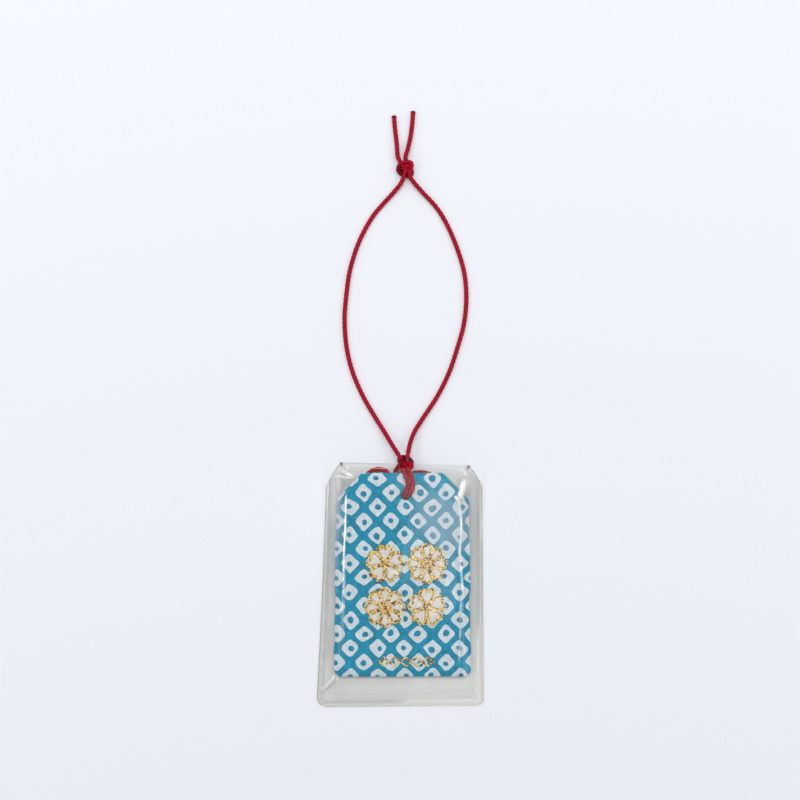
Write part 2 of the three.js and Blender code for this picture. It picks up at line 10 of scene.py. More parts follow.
import json
import logging
import math
from dataclasses import dataclass, field
from enum import Enum
from typing import Callable, Iterable, Sequence

import bpy
import numpy as np
from mathutils import Matrix, Vector

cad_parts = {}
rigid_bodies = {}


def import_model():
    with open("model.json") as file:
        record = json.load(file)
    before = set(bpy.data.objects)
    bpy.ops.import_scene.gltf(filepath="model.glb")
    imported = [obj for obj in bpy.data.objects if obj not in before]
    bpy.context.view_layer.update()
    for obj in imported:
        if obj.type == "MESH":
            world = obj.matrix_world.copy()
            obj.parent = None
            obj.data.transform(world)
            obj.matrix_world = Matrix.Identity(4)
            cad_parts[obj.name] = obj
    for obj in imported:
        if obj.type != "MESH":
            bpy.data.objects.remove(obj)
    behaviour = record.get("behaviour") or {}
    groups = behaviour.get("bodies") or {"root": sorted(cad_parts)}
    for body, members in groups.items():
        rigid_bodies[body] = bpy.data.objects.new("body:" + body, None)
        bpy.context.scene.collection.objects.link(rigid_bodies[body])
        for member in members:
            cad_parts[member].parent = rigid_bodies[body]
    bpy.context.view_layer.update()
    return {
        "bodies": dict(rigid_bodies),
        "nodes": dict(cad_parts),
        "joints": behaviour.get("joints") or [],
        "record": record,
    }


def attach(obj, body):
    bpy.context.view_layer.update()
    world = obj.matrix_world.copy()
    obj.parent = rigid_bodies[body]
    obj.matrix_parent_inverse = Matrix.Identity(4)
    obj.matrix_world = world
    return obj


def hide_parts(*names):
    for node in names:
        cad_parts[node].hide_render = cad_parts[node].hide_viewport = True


LOG = logging.getLogger("omamori")
MM = 0.001

Colour = tuple[float, float, float, float]
Point = tuple[float, float, float]
Value = "bpy.types.NodeSocket | float | Sequence[float]"


class Body(Enum):
    """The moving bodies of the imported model."""

    SLEEVE = "sleeve"
    CHARM = "charm"
    KNOT = "knot"
    LOOP = "loop"


class Slot(Enum):
    """The record's material slots."""

    FILM = "clear_film"
    BROCADE = "brocade"
    SATIN = "white_satin"
    GOLD = "gold_thread"
    CORD = "crimson_cord"
    WOOD = "slip_wood"
    PAPER = "wrapping_paper"
    CARD = "card"


def colour(text: str) -> Colour:
    """Turns an sRGB hex colour into linear values.

    Args:
        text: six hex digits.

    Returns:
        Linear red, green, blue and an alpha of one.
    """
    shares = [int(text[at : at + 2], 16) / 255 for at in (0, 2, 4)]
    linear = [s / 12.92 if s <= 0.04045 else ((s + 0.055) / 1.055) ** 2.4 for s in shares]
    return (linear[0], linear[1], linear[2], 1.0)


# ---- node work ----


class Graph:
    """A node tree under construction, with short calls for the nodes that this charm needs."""

    def __init__(self, tree: bpy.types.NodeTree) -> None:
        """Keeps the tree."""
        self.tree = tree

    def node(self, kind: str, **settings: object) -> bpy.types.Node:
        """Adds a node.

        Args:
            kind: the node's type name.
            settings: properties to set on it.

        Returns:
            The new node.
        """
        made = self.tree.nodes.new(kind)
        for name, value in settings.items():
            setattr(made, name, value)
        return made

    def feed(self, socket: bpy.types.NodeSocket, value: Value) -> None:
        """Links a socket to another one, or sets its plain value."""
        if isinstance(value, bpy.types.NodeSocket):
            self.tree.links.new(value, socket)
        else:
            socket.default_value = value

    def fill(self, made: bpy.types.Node, values: dict[str, Value]) -> None:
        """Feeds a node's inputs by name."""
        for name, value in values.items():
            self.feed(made.inputs[name], value)

    def fed_in_order(self, made: bpy.types.Node, values: Iterable[Value]) -> bpy.types.NodeSocket:
        """Feeds a node's first inputs in their order and returns its first output."""
        for socket, value in zip(made.inputs, values):
            self.feed(socket, value)
        return made.outputs[0]

    def math(self, operation: str, *values: Value) -> bpy.types.NodeSocket:
        """Adds a Math node.

        Args:
            operation: the node's operation.
            values: one to three sockets or numbers.

        Returns:
            Its result.
        """
        return self.fed_in_order(self.node("ShaderNodeMath", operation=operation), values)

    def plus(self, first: Value, second: Value) -> bpy.types.NodeSocket:
        """Returns the sum of two values."""
        return self.math("ADD", first, second)

    def less(self, first: Value, second: Value) -> bpy.types.NodeSocket:
        """Returns the first value less the second."""
        return self.math("SUBTRACT", first, second)

    def times(self, first: Value, second: Value) -> bpy.types.NodeSocket:
        """Returns the product of two values."""
        return self.math("MULTIPLY", first, second)

    def vector(self, operation: str, *values: Value) -> bpy.types.NodeSocket:
        """Adds a Vector Math node and returns its vector."""
        return self.fed_in_order(self.node("ShaderNodeVectorMath", operation=operation), values)

    def scaled(self, vector: Value, factor: Value) -> bpy.types.NodeSocket:
        """Returns a vector times a number."""
        made = self.node("ShaderNodeVectorMath", operation="SCALE")
        self.feed(made.inputs[0], vector)
        self.feed(made.inputs["Scale"], factor)
        return made.outputs[0]

    def split(self, vector: Value) -> tuple[bpy.types.NodeSocket, ...]:
        """Returns a vector's three parts."""
        made = self.node("ShaderNodeSeparateXYZ")
        self.feed(made.inputs[0], vector)
        return tuple(made.outputs)

    def joined(self, *parts: Value) -> bpy.types.NodeSocket:
        """Returns a vector made of two or three parts."""
        return self.fed_in_order(self.node("ShaderNodeCombineXYZ"), parts)

    def mix(self, share: Value, first: Value, second: Value) -> bpy.types.NodeSocket:
        """Returns a colour between two colours.

        Args:
            share: how much of the second colour shows.
            first: the colour at no share.
            second: the colour at a full share.

        Returns:
            The mixed colour.
        """
        made = self.node("ShaderNodeMix", data_type="RGBA")
        self.feed(made.inputs[0], share)
        self.feed(made.inputs[6], first)
        self.feed(made.inputs[7], second)
        return made.outputs[2]

    def ramp(
        self, value: Value, low: float, high: float, start: float = 0.0, end: float = 1.0
    ) -> bpy.types.NodeSocket:
        """Returns a smooth step.

        Args:
            value: what is measured.
            low: where the step begins.
            high: where the step ends.
            start: the result below the step.
            end: the result above it.

        Returns:
            The stepped value.
        """
        made = self.node("ShaderNodeMapRange", interpolation_type="SMOOTHSTEP")
        return self.fed_in_order(made, (value, low, high, start, end))

    def noise(self, place: Value, scale: float, detail: float = 2.0) -> bpy.types.Node:
        """Adds a Noise Texture at a place and returns the node."""
        made = self.node("ShaderNodeTexNoise")
        self.fill(made, {"Vector": place, "Scale": scale, "Detail": detail})
        return made

    def place_mm(self) -> bpy.types.NodeSocket:
        """Returns the Object coordinates in millimetres."""
        return self.scaled(self.node("ShaderNodeTexCoord").outputs["Object"], 1 / MM)

    def attribute(self, name: str) -> bpy.types.NodeSocket:
        """Returns a value that the mesh keeps at each of its places."""
        return self.node("ShaderNodeAttribute", attribute_name=name).outputs["Fac"]

    def facing(self) -> bpy.types.NodeSocket:
        """Returns 0 where the surface faces the eye and nearly 1 where it turns away."""
        made = self.node("ShaderNodeLayerWeight")
        made.inputs["Blend"].default_value = 0.5
        return made.outputs["Facing"]

    def seen_by(self, *rays: str) -> bpy.types.NodeSocket:
        """Returns 1 for rays of the named kinds, and 0 for others."""
        path = self.node("ShaderNodeLightPath").outputs
        seen = path[rays[0]]
        for ray in rays[1:]:
            seen = self.math("MAXIMUM", seen, path[ray])
        return seen

    def thread_lay(self) -> tuple[bpy.types.NodeSocket, bpy.types.NodeSocket]:
        """Returns the turn round a swept thread and the length along it."""
        around, along, _ = self.split(self.node("ShaderNodeUVMap", uv_map="lay").outputs[0])
        return around, along


class EffectGroup:
    """A shader node group with named inputs and outputs."""

    def __init__(self, name: str, inputs: dict[str, str], outputs: dict[str, str]) -> None:
        """Makes the empty group.

        Args:
            name: the group's name.
            inputs: kind of socket by name, Float, Vector or Color.
            outputs: the same for what it gives.
        """
        self.tree = bpy.data.node_groups.new(name, "ShaderNodeTree")
        for label, kind in inputs.items():
            self.tree.interface.new_socket(name=label, in_out="INPUT", socket_type="NodeSocket" + kind)
        for label, kind in outputs.items():
            self.tree.interface.new_socket(name=label, in_out="OUTPUT", socket_type="NodeSocket" + kind)
        self.graph = Graph(self.tree)
        self.entry = self.graph.node("NodeGroupInput").outputs
        self.exit = self.graph.node("NodeGroupOutput").inputs

    def used_in(self, graph: Graph, **values: Value) -> bpy.types.NodeOutputs:
        """Places the group in a material.

        Args:
            graph: the material's node tree.
            values: the group's inputs, with _ for a space in a name.

        Returns:
            The group's outputs.
        """
        made = graph.node("ShaderNodeGroup", node_tree=self.tree)
        graph.fill(made, {name.replace("_", " "): value for name, value in values.items()})
        return made.outputs


def tone_drift() -> EffectGroup:
    """Makes the slow change of tone that dyed, woven or wooden stuff shows.

    Returns:
        A group with Place, Colour, Scale and Amount, and a Colour out.
    """
    group = EffectGroup(
        "tone_drift",
        {"Place": "Vector", "Colour": "Color", "Scale": "Float", "Amount": "Float"},
        {"Colour": "Color"},
    )
    graph, entry = group.graph, group.entry
    cloud = graph.noise(graph.scaled(entry["Place"], entry["Scale"]), 1.0, 3.0).outputs["Fac"]
    swing = graph.times(graph.less(cloud, 0.5), entry["Amount"])
    drifted = graph.node("ShaderNodeHueSaturation")
    graph.fill(drifted, {"Color": entry["Colour"], "Value": graph.plus(1.0, swing)})
    graph.feed(group.exit["Colour"], drifted.outputs[0])
    return group


def cross_threads() -> EffectGroup:
    """Makes threads that cross each other over and under, in a flat weave or round a cord.

    Returns:
        A group with Along, Across and Softness, whose Height is 1 on a thread and 0 between.
    """
    group = EffectGroup(
        "cross_threads",
        {"Along": "Float", "Across": "Float", "Softness": "Float"},
        {"Height": "Float"},
    )
    graph, entry = group.graph, group.entry
    crests = []
    for name in ("Along", "Across"):
        wave = graph.math("SINE", graph.times(entry[name], math.pi))
        crests.append(graph.math("POWER", graph.math("ABSOLUTE", wave), entry["Softness"]))
    graph.feed(group.exit["Height"], graph.times(*crests))
    return group


@dataclass(frozen=True)
class Effects:
    """The effects that several finishes share."""

    drift: EffectGroup
    threads: EffectGroup

    def drifted(
        self, graph: Graph, place: Value, tone: Value, scale: float, amount: float
    ) -> bpy.types.NodeSocket:
        """Lets a colour drift in tone.

        Args:
            graph: the material's node tree.
            place: the place in millimetres.
            tone: the even colour.
            scale: how fine the drift is.
            amount: how strong it is.

        Returns:
            The uneven colour.
        """
        return self.drift.used_in(graph, Place=place, Colour=tone, Scale=scale, Amount=amount)["Colour"]

    def crossed(self, graph: Graph, along: Value, across: Value, softness: float) -> bpy.types.NodeSocket:
        """Returns the height of threads that cross each other."""
        return self.threads.used_in(graph, Along=along, Across=across, Softness=softness)["Height"]


@dataclass(frozen=True)
class Finish:
    """What all finishes have: a name and the way to start and close a material."""

    name: str = "finish"

    def begin(self) -> tuple[bpy.types.Material, Graph, bpy.types.Node]:
        """Makes an empty material.

        Returns:
            The material, its node tree and its Principled shader.
        """
        made = bpy.data.materials.new(self.name)
        made.use_nodes = True
        graph = Graph(made.node_tree)
        return made, graph, made.node_tree.nodes["Principled BSDF"]

    def bump(self, graph: Graph, height: Value, depth: float, strength: float = 1.0) -> bpy.types.NodeSocket:
        """Adds a Bump node.

        Args:
            graph: the material's node tree.
            height: the relief, from 0 to 1.
            depth: how deep a full step is, in millimetres.
            strength: how much of it shows.

        Returns:
            The bent normal.
        """
        made = graph.node("ShaderNodeBump")
        graph.fill(made, {"Height": height, "Distance": depth * MM, "Strength": strength})
        return made.outputs["Normal"]


@dataclass(frozen=True)
class DappledBrocade(Finish):
    """Teal brocade dyed with rows of off-white dappled lozenges, each with a blue eye."""

    name: str = "dappled_brocade"
    ground: Colour = colour("009AC0")
    shade: Colour = colour("0082A8")
    pool: Colour = colour("046C92")
    dot: Colour = colour("D6E4EE")
    eye: Colour = colour("0889B2")
    pitch_x: float = 8.77
    pitch_y: float = 9.06
    start_x: float = 1.3
    start_y: float = 25.0
    dot_reach: float = 0.358
    squareness: float = 4.4
    edge_softness: float = 0.014
    eye_radius: float = 0.92
    eye_spread: float = 0.3
    eye_softness: float = 0.1
    eye_wander: float = 1.0
    thread_pitch: float = 0.3
    slow_bend: tuple[float, float] = (0.17, 1.8)
    quick_bend: tuple[float, float] = (0.8, 0.4)
    pool_share: float = 0.3
    dye_drifts: tuple[tuple[float, float], ...] = ((0.35, 0.6), (1.0, 1.2))
    dot_drift: tuple[float, float] = (1.1, 0.6)

    def lattice(self, graph: Graph, place: Value) -> tuple[bpy.types.NodeSocket, ...]:
        """Finds the lozenge that a place belongs to.

        Args:
            graph: the material's node tree.
            place: the place in millimetres.

        Returns:
            The two lattice steps from the lozenge's middle, and the lozenge's own random colour.
        """
        x, y, _ = graph.split(place)
        across = graph.math("DIVIDE", graph.less(x, self.start_x), self.pitch_x)
        up = graph.math("DIVIDE", graph.less(y, self.start_y), self.pitch_y)
        steps, cells = [], []
        for total in (graph.plus(across, up), graph.less(across, up)):
            cell = graph.math("ROUND", total)
            cells.append(cell)
            steps.append(graph.less(total, cell))
        chance = graph.node("ShaderNodeTexWhiteNoise", noise_dimensions="2D")
        graph.feed(chance.inputs["Vector"], graph.joined(*cells))
        return steps[0], steps[1], chance.outputs["Color"]

    def eye_mask(self, graph: Graph, steps: Sequence[Value], chance: Value) -> bpy.types.NodeSocket:
        """Returns 1 inside the lozenge's eye, which sits a little off its middle."""
        red, green, blue = graph.split(chance)
        half_x, half_y = self.pitch_x / 2, self.pitch_y / 2
        x = graph.times(graph.plus(steps[0], steps[1]), half_x)
        y = graph.times(graph.less(steps[0], steps[1]), half_y)
        off_x = graph.times(graph.less(red, 0.5), self.eye_wander)
        off_y = graph.times(graph.less(green, 0.5), self.eye_wander)
        away = graph.joined(graph.less(x, off_x), graph.less(y, off_y))
        length = graph.node("ShaderNodeVectorMath", operation="LENGTH")
        graph.feed(length.inputs[0], away)
        radius = graph.math("MULTIPLY_ADD", blue, self.eye_spread, self.eye_radius - self.eye_spread / 2)
        inside = graph.less(radius, length.outputs["Value"])
        return graph.ramp(inside, -self.eye_softness, self.eye_softness)

    def dot_masks(
        self, graph: Graph, steps: Sequence[Value]
    ) -> tuple[bpy.types.NodeSocket, bpy.types.NodeSocket]:
        """Returns 1 inside the round-cornered lozenge, and 1 in the dye that has pooled at its edge."""
        powers = [graph.math("POWER", graph.math("ABSOLUTE", step), self.squareness) for step in steps]
        reach = graph.math("POWER", graph.plus(*powers), 1 / self.squareness)
        inside = graph.less(self.dot_reach, reach)
        whole = graph.ramp(inside, -self.edge_softness, self.edge_softness)
        return whole, graph.ramp(inside, -0.075, -0.005)

    def bend(
        self, graph: Graph, place: Value, scale: float, detail: float, reach: float
    ) -> bpy.types.NodeSocket:
        """Returns a wandering step, so that the lozenges aren't all alike.

        Args:
            graph: the material's node tree.
            place: the place in millimetres.
            scale: how quickly it wanders.
            detail: how uneven its way is.
            reach: how far it strays, in millimetres.

        Returns:
            The step in millimetres.
        """
        cloud = graph.noise(place, scale, detail).outputs["Color"]
        return graph.scaled(graph.vector("SUBTRACT", cloud, (0.5, 0.5, 0.5)), reach)

    def material(self, effects: Effects) -> bpy.types.Material:
        """Makes the brocade.

        Args:
            effects: the shared effects.

        Returns:
            The material.
        """
        made, graph, shader = self.begin()
        place = graph.place_mm()
        bent = place
        for detail, (scale, reach) in ((1.0, self.slow_bend), (2.0, self.quick_bend)):
            bent = graph.vector("ADD", bent, self.bend(graph, place, scale, detail, reach))
        *steps, chance = self.lattice(graph, bent)
        whole, pooled = self.dot_masks(graph, steps)
        eyes = self.eye_mask(graph, steps, chance)
        dots = graph.math("MAXIMUM", graph.less(whole, eyes), 0.0)
        x, y, _ = graph.split(place)
        warp = graph.math("DIVIDE", graph.plus(x, y), self.thread_pitch)
        weft = graph.math("DIVIDE", graph.less(y, x), self.thread_pitch)
        weave = effects.crossed(graph, warp, weft, 0.5)
        # Painted shade between the woven threads: the ground darkens toward the shade colour in the gaps of
        # the weave.
        dyed = graph.mix(graph.ramp(weave, 0.1, 0.9), self.shade, self.ground)
        dyed = graph.mix(graph.times(pooled, self.pool_share), dyed, self.pool)
        dyed = graph.mix(eyes, dyed, self.eye)
        for drift in self.dye_drifts:
            dyed = effects.drifted(graph, place, dyed, *drift)
        white = effects.drifted(graph, place, self.dot, *self.dot_drift)
        relief = graph.math("MULTIPLY_ADD", dots, 0.6, weave)
        graph.fill(shader, {
            "Base Color": graph.mix(dots, dyed, white),
            "Normal": self.bump(graph, relief, 0.05, 0.7),
            "Roughness": graph.ramp(weave, 0.0, 1.0, 0.85, 0.6),
            "Sheen Weight": 0.03,
            "Sheen Roughness": 0.4,
            "Specular IOR Level": 0.2,
        })
        return made


@dataclass(frozen=True)
class BraidedCord(Finish):
    """Crimson round cord, braided of fine silky threads, dark where its cut ends were seared, with painted
    shade in its braid's grooves, toward its outline, in the knots' hollows and in the pouch's hole.
    """

    name: str = "braided_crimson_cord"
    dye: Colour = colour("BC0424")
    # Painted shade colour for the braid's grooves and the cord's outline.
    groove_shade: Colour = colour("4A0210")
    sear_and_shade: Colour = colour("3A0A10")
    gleam: Colour = colour("F44E6C")
    hairs_round: float = 60.0
    hairs_along: float = 4.0
    painted_rim_shade: float = 0.75

    def material(self, effects: Effects) -> bpy.types.Material:
        """Makes the cord's finish.

        Args:
            effects: the shared effects.

        Returns:
            The material.
        """
        made, graph, shader = self.begin()
        around, along = graph.thread_lay()
        turns = graph.times(around, BRAID_PLAITS)
        steps = graph.math("DIVIDE", along, BRAID_PITCH)
        one_way, other_way = graph.plus(turns, steps), graph.less(turns, steps)
        braid = effects.crossed(graph, one_way, other_way, 0.7)
        hairs = graph.joined(graph.times(around, self.hairs_round), graph.times(along, self.hairs_along))
        fibre = graph.noise(hairs, 1.0, 2.0).outputs["Fac"]
        # Painted shade: the braid's grooves are darkened toward a deep red.
        dye = graph.mix(graph.ramp(braid, 0.05, 0.8), self.groove_shade, self.dye)
        dye = effects.drifted(graph, graph.place_mm(), dye, 0.5, 0.7)
        # Painted shade: the cord darkens toward its outline, where it turns away from the eye.
        dye = graph.mix(graph.ramp(graph.facing(), 0.35, 0.95, 0.0, self.painted_rim_shade), dye, self.groove_shade)
        graph.fill(shader, {
            # The mark darkens seared cut ends, and also paints shade into knot hollows and where the cord
            # goes into the pouch's hole.
            "Base Color": graph.mix(graph.attribute("sear_and_shade"), dye, self.sear_and_shade),
            "Normal": self.bump(graph, graph.plus(braid, fibre), 0.05, 0.6),
            "Roughness": graph.ramp(fibre, 0.3, 0.7, 0.28, 0.45),
            "Specular IOR Level": 0.9,
            "Specular Tint": self.gleam,
        })
        return made


@dataclass(frozen=True)
class SpunThread(Finish):
    """Stitching thread: fine fibres along each stitch, silky or metallic, with painted shade between its
    plies and a painted glint that changes from stitch to stitch.
    """

    name: str = "white_satin_thread"
    thread: Colour = colour("F4F2F0")
    ply_shade: Colour = colour("C9C6C8")
    flash: Colour = colour("FFF8DC")
    metal: float = 0.0
    roughness: float = 0.4
    sheen: float = 0.1
    glitter: float = 0.2
    glitter_scale: float = 1.3
    twist_round: float = 8.0
    twist_along: float = 3.0

    def material(self, effects: Effects) -> bpy.types.Material:
        """Makes the thread's finish.

        Args:
            effects: the shared effects.

        Returns:
            The material.
        """
        made, graph, shader = self.begin()
        around, along = graph.thread_lay()
        twist = graph.plus(graph.times(around, self.twist_round), graph.times(along, self.twist_along))
        ply = graph.math("ABSOLUTE", graph.math("SINE", graph.times(twist, math.pi)))
        # Painted shade between the plies, scaled by each stitch's painted glint.
        catch = graph.times(graph.ramp(ply, 0.0, 0.5, 0.6, 1.0), graph.attribute("glint"))
        tone = graph.mix(catch, self.ply_shade, self.thread)
        # Painted highlight: a stitch whose glint passes 1 turns toward the near-white flash colour.
        tone = graph.mix(graph.ramp(catch, 1.0, 1.6), tone, self.flash)
        place = graph.place_mm()
        tone = effects.drifted(graph, place, tone, self.glitter_scale, self.glitter)
        sparkle = graph.noise(place, 3.0, 1.0).outputs["Fac"]
        graph.fill(shader, {
            "Base Color": tone,
            "Normal": self.bump(graph, ply, 0.03, 0.6),
            "Roughness": graph.ramp(sparkle, 0.35, 0.65, self.roughness * 0.7, self.roughness * 1.3),
            "Metallic": self.metal,
            "Sheen Weight": self.sheen,
        })
        return made


COUCHED_GOLD = SpunThread(
    "couched_gold_thread",
    colour("FFDC6A"),
    colour("84480A"),
    metal=0.15,
    roughness=0.25,
    sheen=0.0,
    glitter=0.25,
    glitter_scale=2.2,
)


@dataclass(frozen=True)
class ClearSoftFilm(Finish):
    """Clear soft plastic film: nearly unseen face on, grey at its cut edge, with painted white highlights
    along its crests, a painted reflection in places and a band of painted shade where it rises from its weld.
    """

    name: str = "clear_soft_film"
    tint: Colour = (0.982, 0.98, 0.97, 1.0)
    film_tone: Colour = colour("DEDDDA")
    # Grey of the cut edge, also used for the painted shade band inside the weld.
    shade: Colour = colour("9C9E98")
    highlight_white: Colour = colour("F6F6F4")
    reflection_colour: Colour = colour("CAD2D6")
    open_share: float = 0.016
    highlight_share: float = 0.6
    bloom_share: float = 0.075
    weld_share: float = 0.04
    line_share: float = 0.34
    rim_share: float = 0.12
    mirror: float = 0.55
    weld: float = 1.0
    cut_line: tuple[float, float] = (0.08, 0.38)
    rise_at: float = 0.6
    rise_line: tuple[float, float] = (0.2, 0.8)
    rise_shade: float = 0.22

    def material(self, effects: Effects) -> bpy.types.Material:
        """Makes the film.

        Args:
            effects: the shared effects.

        Returns:
            The material.
        """
        made, graph, shader = self.begin()
        place = graph.place_mm()
        inset, crest, bloom = (graph.attribute(name) for name in ("inset", "crest", "bloom"))
        weld = graph.ramp(inset, self.weld - 0.1, self.weld + 0.1, 1.0, 0.0)
        # The cut edge gets a grey line, and a band of painted shade lies where the film rises steeply from
        # its weld.
        rising = graph.math("ABSOLUTE", graph.less(inset, self.weld + self.rise_at))
        cut = graph.ramp(inset, *self.cut_line, 1.0, 0.0)
        line = graph.plus(cut, graph.ramp(rising, *self.rise_line, self.rise_shade, 0.0))
        bloomed = graph.math("MINIMUM", bloom, 1.0)
        film_tone = effects.drifted(graph, place, self.film_tone, 0.2, 0.1)
        # Painted reflection: the film turns a pale grey-blue where a soft light's reflection is painted on
        # it.
        film_tone = graph.mix(bloomed, film_tone, self.reflection_colour)
        # Painted highlight: the crest mark turns the film white and more opaque along its ridges, welds and
        # creases.
        film_tone = graph.mix(crest, film_tone, self.highlight_white)
        gloss = graph.ramp(graph.math("MAXIMUM", weld, crest), 0.0, 1.0, 0.05, 0.2)
        dulled = graph.math("MAXIMUM", crest, bloomed)
        waves = graph.noise(place, 0.18, 1.0).outputs["Fac"]
        graph.fill(shader, {
            "Base Color": graph.mix(line, film_tone, self.shade),
            "Roughness": graph.math("MULTIPLY_ADD", bloomed, 0.5, gloss),
            "Metallic": graph.ramp(dulled, 0.0, 0.5, self.mirror, 0.0),
            "IOR": 3.0,
            "Specular IOR Level": 1.0,
            "Normal": self.bump(graph, waves, 0.05, 0.3),
        })
        rim = graph.times(graph.math("POWER", graph.facing(), 3.0), self.rim_share)
        share = self.open_share
        # Painted highlight and painted reflection also make the film less clear where they lie.
        for mark, worth in (
            (weld, self.weld_share),
            (line, self.line_share),
            (crest, self.highlight_share),
            (bloom, self.bloom_share),
        ):
            share = graph.math("MULTIPLY_ADD", mark, worth, share)
        share = graph.math("MINIMUM", graph.plus(share, rim), 1.0)
        clear = graph.node("ShaderNodeBsdfTransparent")
        clear.inputs["Color"].default_value = self.tint
        blend = graph.node("ShaderNodeMixShader")
        seen = graph.fed_in_order(blend, (share, clear.outputs[0], shader.outputs[0]))
        graph.feed(made.node_tree.nodes["Material Output"].inputs["Surface"], seen)
        return made


@dataclass(frozen=True)
class PaleWood(Finish):
    """Plain pale wood with a fine straight grain along the slip."""

    name: str = "pale_slip_wood"
    early: Colour = colour("E2C596")
    late: Colour = colour("B98F55")

    def material(self, effects: Effects) -> bpy.types.Material:
        """Makes the wood.

        Args:
            effects: the shared effects.

        Returns:
            The material.
        """
        made, graph, shader = self.begin()
        place = graph.place_mm()
        stretched = graph.vector("MULTIPLY", place, (1.6, 0.05, 1.6))
        rings = graph.noise(stretched, 1.0, 3.0).outputs["Fac"]
        tone = graph.mix(graph.ramp(rings, 0.42, 0.62), self.early, self.late)
        tone = effects.drifted(graph, place, tone, 0.08, 0.25)
        graph.fill(shader, {
            "Base Color": tone,
            "Roughness": graph.ramp(rings, 0.3, 0.7, 0.5, 0.7),
            "Normal": self.bump(graph, rings, 0.04, 0.5),
        })
        return made


@dataclass(frozen=True)
class PressedPaper(Finish):
    """Paper or card: a faint cloud of fibres and a dull face."""

    name: str = "wrapping_paper"
    pulp: Colour = colour("F6F3EA")
    grain: float = 1.2
    depth: float = 0.02

    def material(self, effects: Effects) -> bpy.types.Material:
        """Makes the paper.

        Args:
            effects: the shared effects.

        Returns:
            The material.
        """
        made, graph, shader = self.begin()
        place = graph.place_mm()
        stretched = graph.vector("MULTIPLY", place, (1.0, 0.3, 1.0))
        fibres = graph.noise(stretched, self.grain, 4.0).outputs["Fac"]
        tone = effects.drifted(graph, place, self.pulp, self.grain, 0.12)
        graph.fill(shader, {
            "Base Color": tone,
            "Roughness": graph.ramp(fibres, 0.3, 0.7, 0.8, 0.95),
            "Normal": self.bump(graph, fibres, self.depth, 0.6),
        })
        return made


# ---- lines and meshes ----

CORD_DIAMETER = 1.45
CORD_SIDES = 20
CORD_STEP = 0.16
BRAID_PLAITS = 4.0
BRAID_PITCH = 1.5
BRAID_RELIEF = 0.13
BRAID_SINK = 0.08
SEARED_LENGTH = 0.9
SEARED_SWELL = 0.12
GOLD_PITCH = 0.48
# Painted glints for gold stitches: low values leave a stitch in its ply shade, values above 1 paint a
# near-white highlight.
GLINTS = (0.0, 0.3, 0.7, 1.0, 1.0, 1.8, 2.0)


def bell(distance: np.ndarray, width: float) -> np.ndarray:
    """Returns 1 at no distance, and less and less outside a width."""
    return np.exp(-((distance / width) ** 2))


def part_of(distance: np.ndarray, reach: float) -> np.ndarray:
    """Returns a distance as a share of a reach, kept between 0 and 1."""
    return np.clip(distance / reach, 0, 1)


def places_of(piece: bpy.types.Object) -> np.ndarray:
    """Returns the places of a mesh, one in each row."""
    flat = np.empty(len(piece.data.vertices) * 3)
    piece.data.vertices.foreach_get("co", flat)
    return flat.reshape(-1, 3)


def smooth_line(points: Iterable[Point], step: float) -> np.ndarray:
    """Runs a smooth line through points and cuts it into even steps.

    Args:
        points: the places it passes, in millimetres.
        step: the distance between the results, in millimetres.

    Returns:
        An array of places along the line.
    """
    knots = np.array(list(points), float)
    ends = 2 * knots[0] - knots[1], 2 * knots[-1] - knots[-2]
    padded = np.vstack([ends[0], knots, ends[1]])
    fine = []
    for at in range(1, len(padded) - 2):
        p = padded[at - 1 : at + 3]
        gaps = np.maximum(np.linalg.norm(np.diff(p, axis=0), axis=1) ** 0.5, 1e-6)
        t = np.concatenate([[0.0], np.cumsum(gaps)])
        s = np.linspace(t[1], t[2], 24, endpoint=False)[:, None]
        a = [((t[i + 1] - s) * p[i] + (s - t[i]) * p[i + 1]) / (t[i + 1] - t[i]) for i in range(3)]
        b = [((t[i + 2] - s) * a[i] + (s - t[i]) * a[i + 1]) / (t[i + 2] - t[i]) for i in range(2)]
        fine.append(((t[2] - s) * b[0] + (s - t[1]) * b[1]) / (t[2] - t[1]))
    line = np.vstack([*fine, knots[-1:]])
    lengths = np.concatenate([[0.0], np.cumsum(np.linalg.norm(np.diff(line, axis=0), axis=1))])
    count = max(2, round(lengths[-1] / step) + 1)
    even = np.linspace(0.0, lengths[-1], count)
    return np.column_stack([np.interp(even, lengths, line[:, axis]) for axis in range(3)])


def length_of(line: np.ndarray) -> float:
    """Returns the length of a line of places."""
    return float(np.linalg.norm(np.diff(line, axis=0), axis=1).sum())


def frames_along(line: np.ndarray) -> tuple[np.ndarray, np.ndarray, np.ndarray]:
    """Carries a pair of side directions along a line without twist.

    Args:
        line: places along it.

    Returns:
        The tangents and the two side directions at each place.
    """
    tangents = np.gradient(line, axis=0)
    tangents /= np.maximum(np.linalg.norm(tangents, axis=1, keepdims=True), 1e-9)
    seed = np.array([0.0, 0.0, 1.0]) if abs(tangents[0][2]) < 0.9 else np.array([1.0, 0.0, 0.0])
    side = np.cross(tangents[0], seed)
    sides = np.empty_like(line)
    for at, tangent in enumerate(tangents):
        side = side - tangent * side.dot(tangent)
        side = side / max(np.linalg.norm(side), 1e-9)
        sides[at] = side
    return tangents, sides, np.cross(tangents, sides)


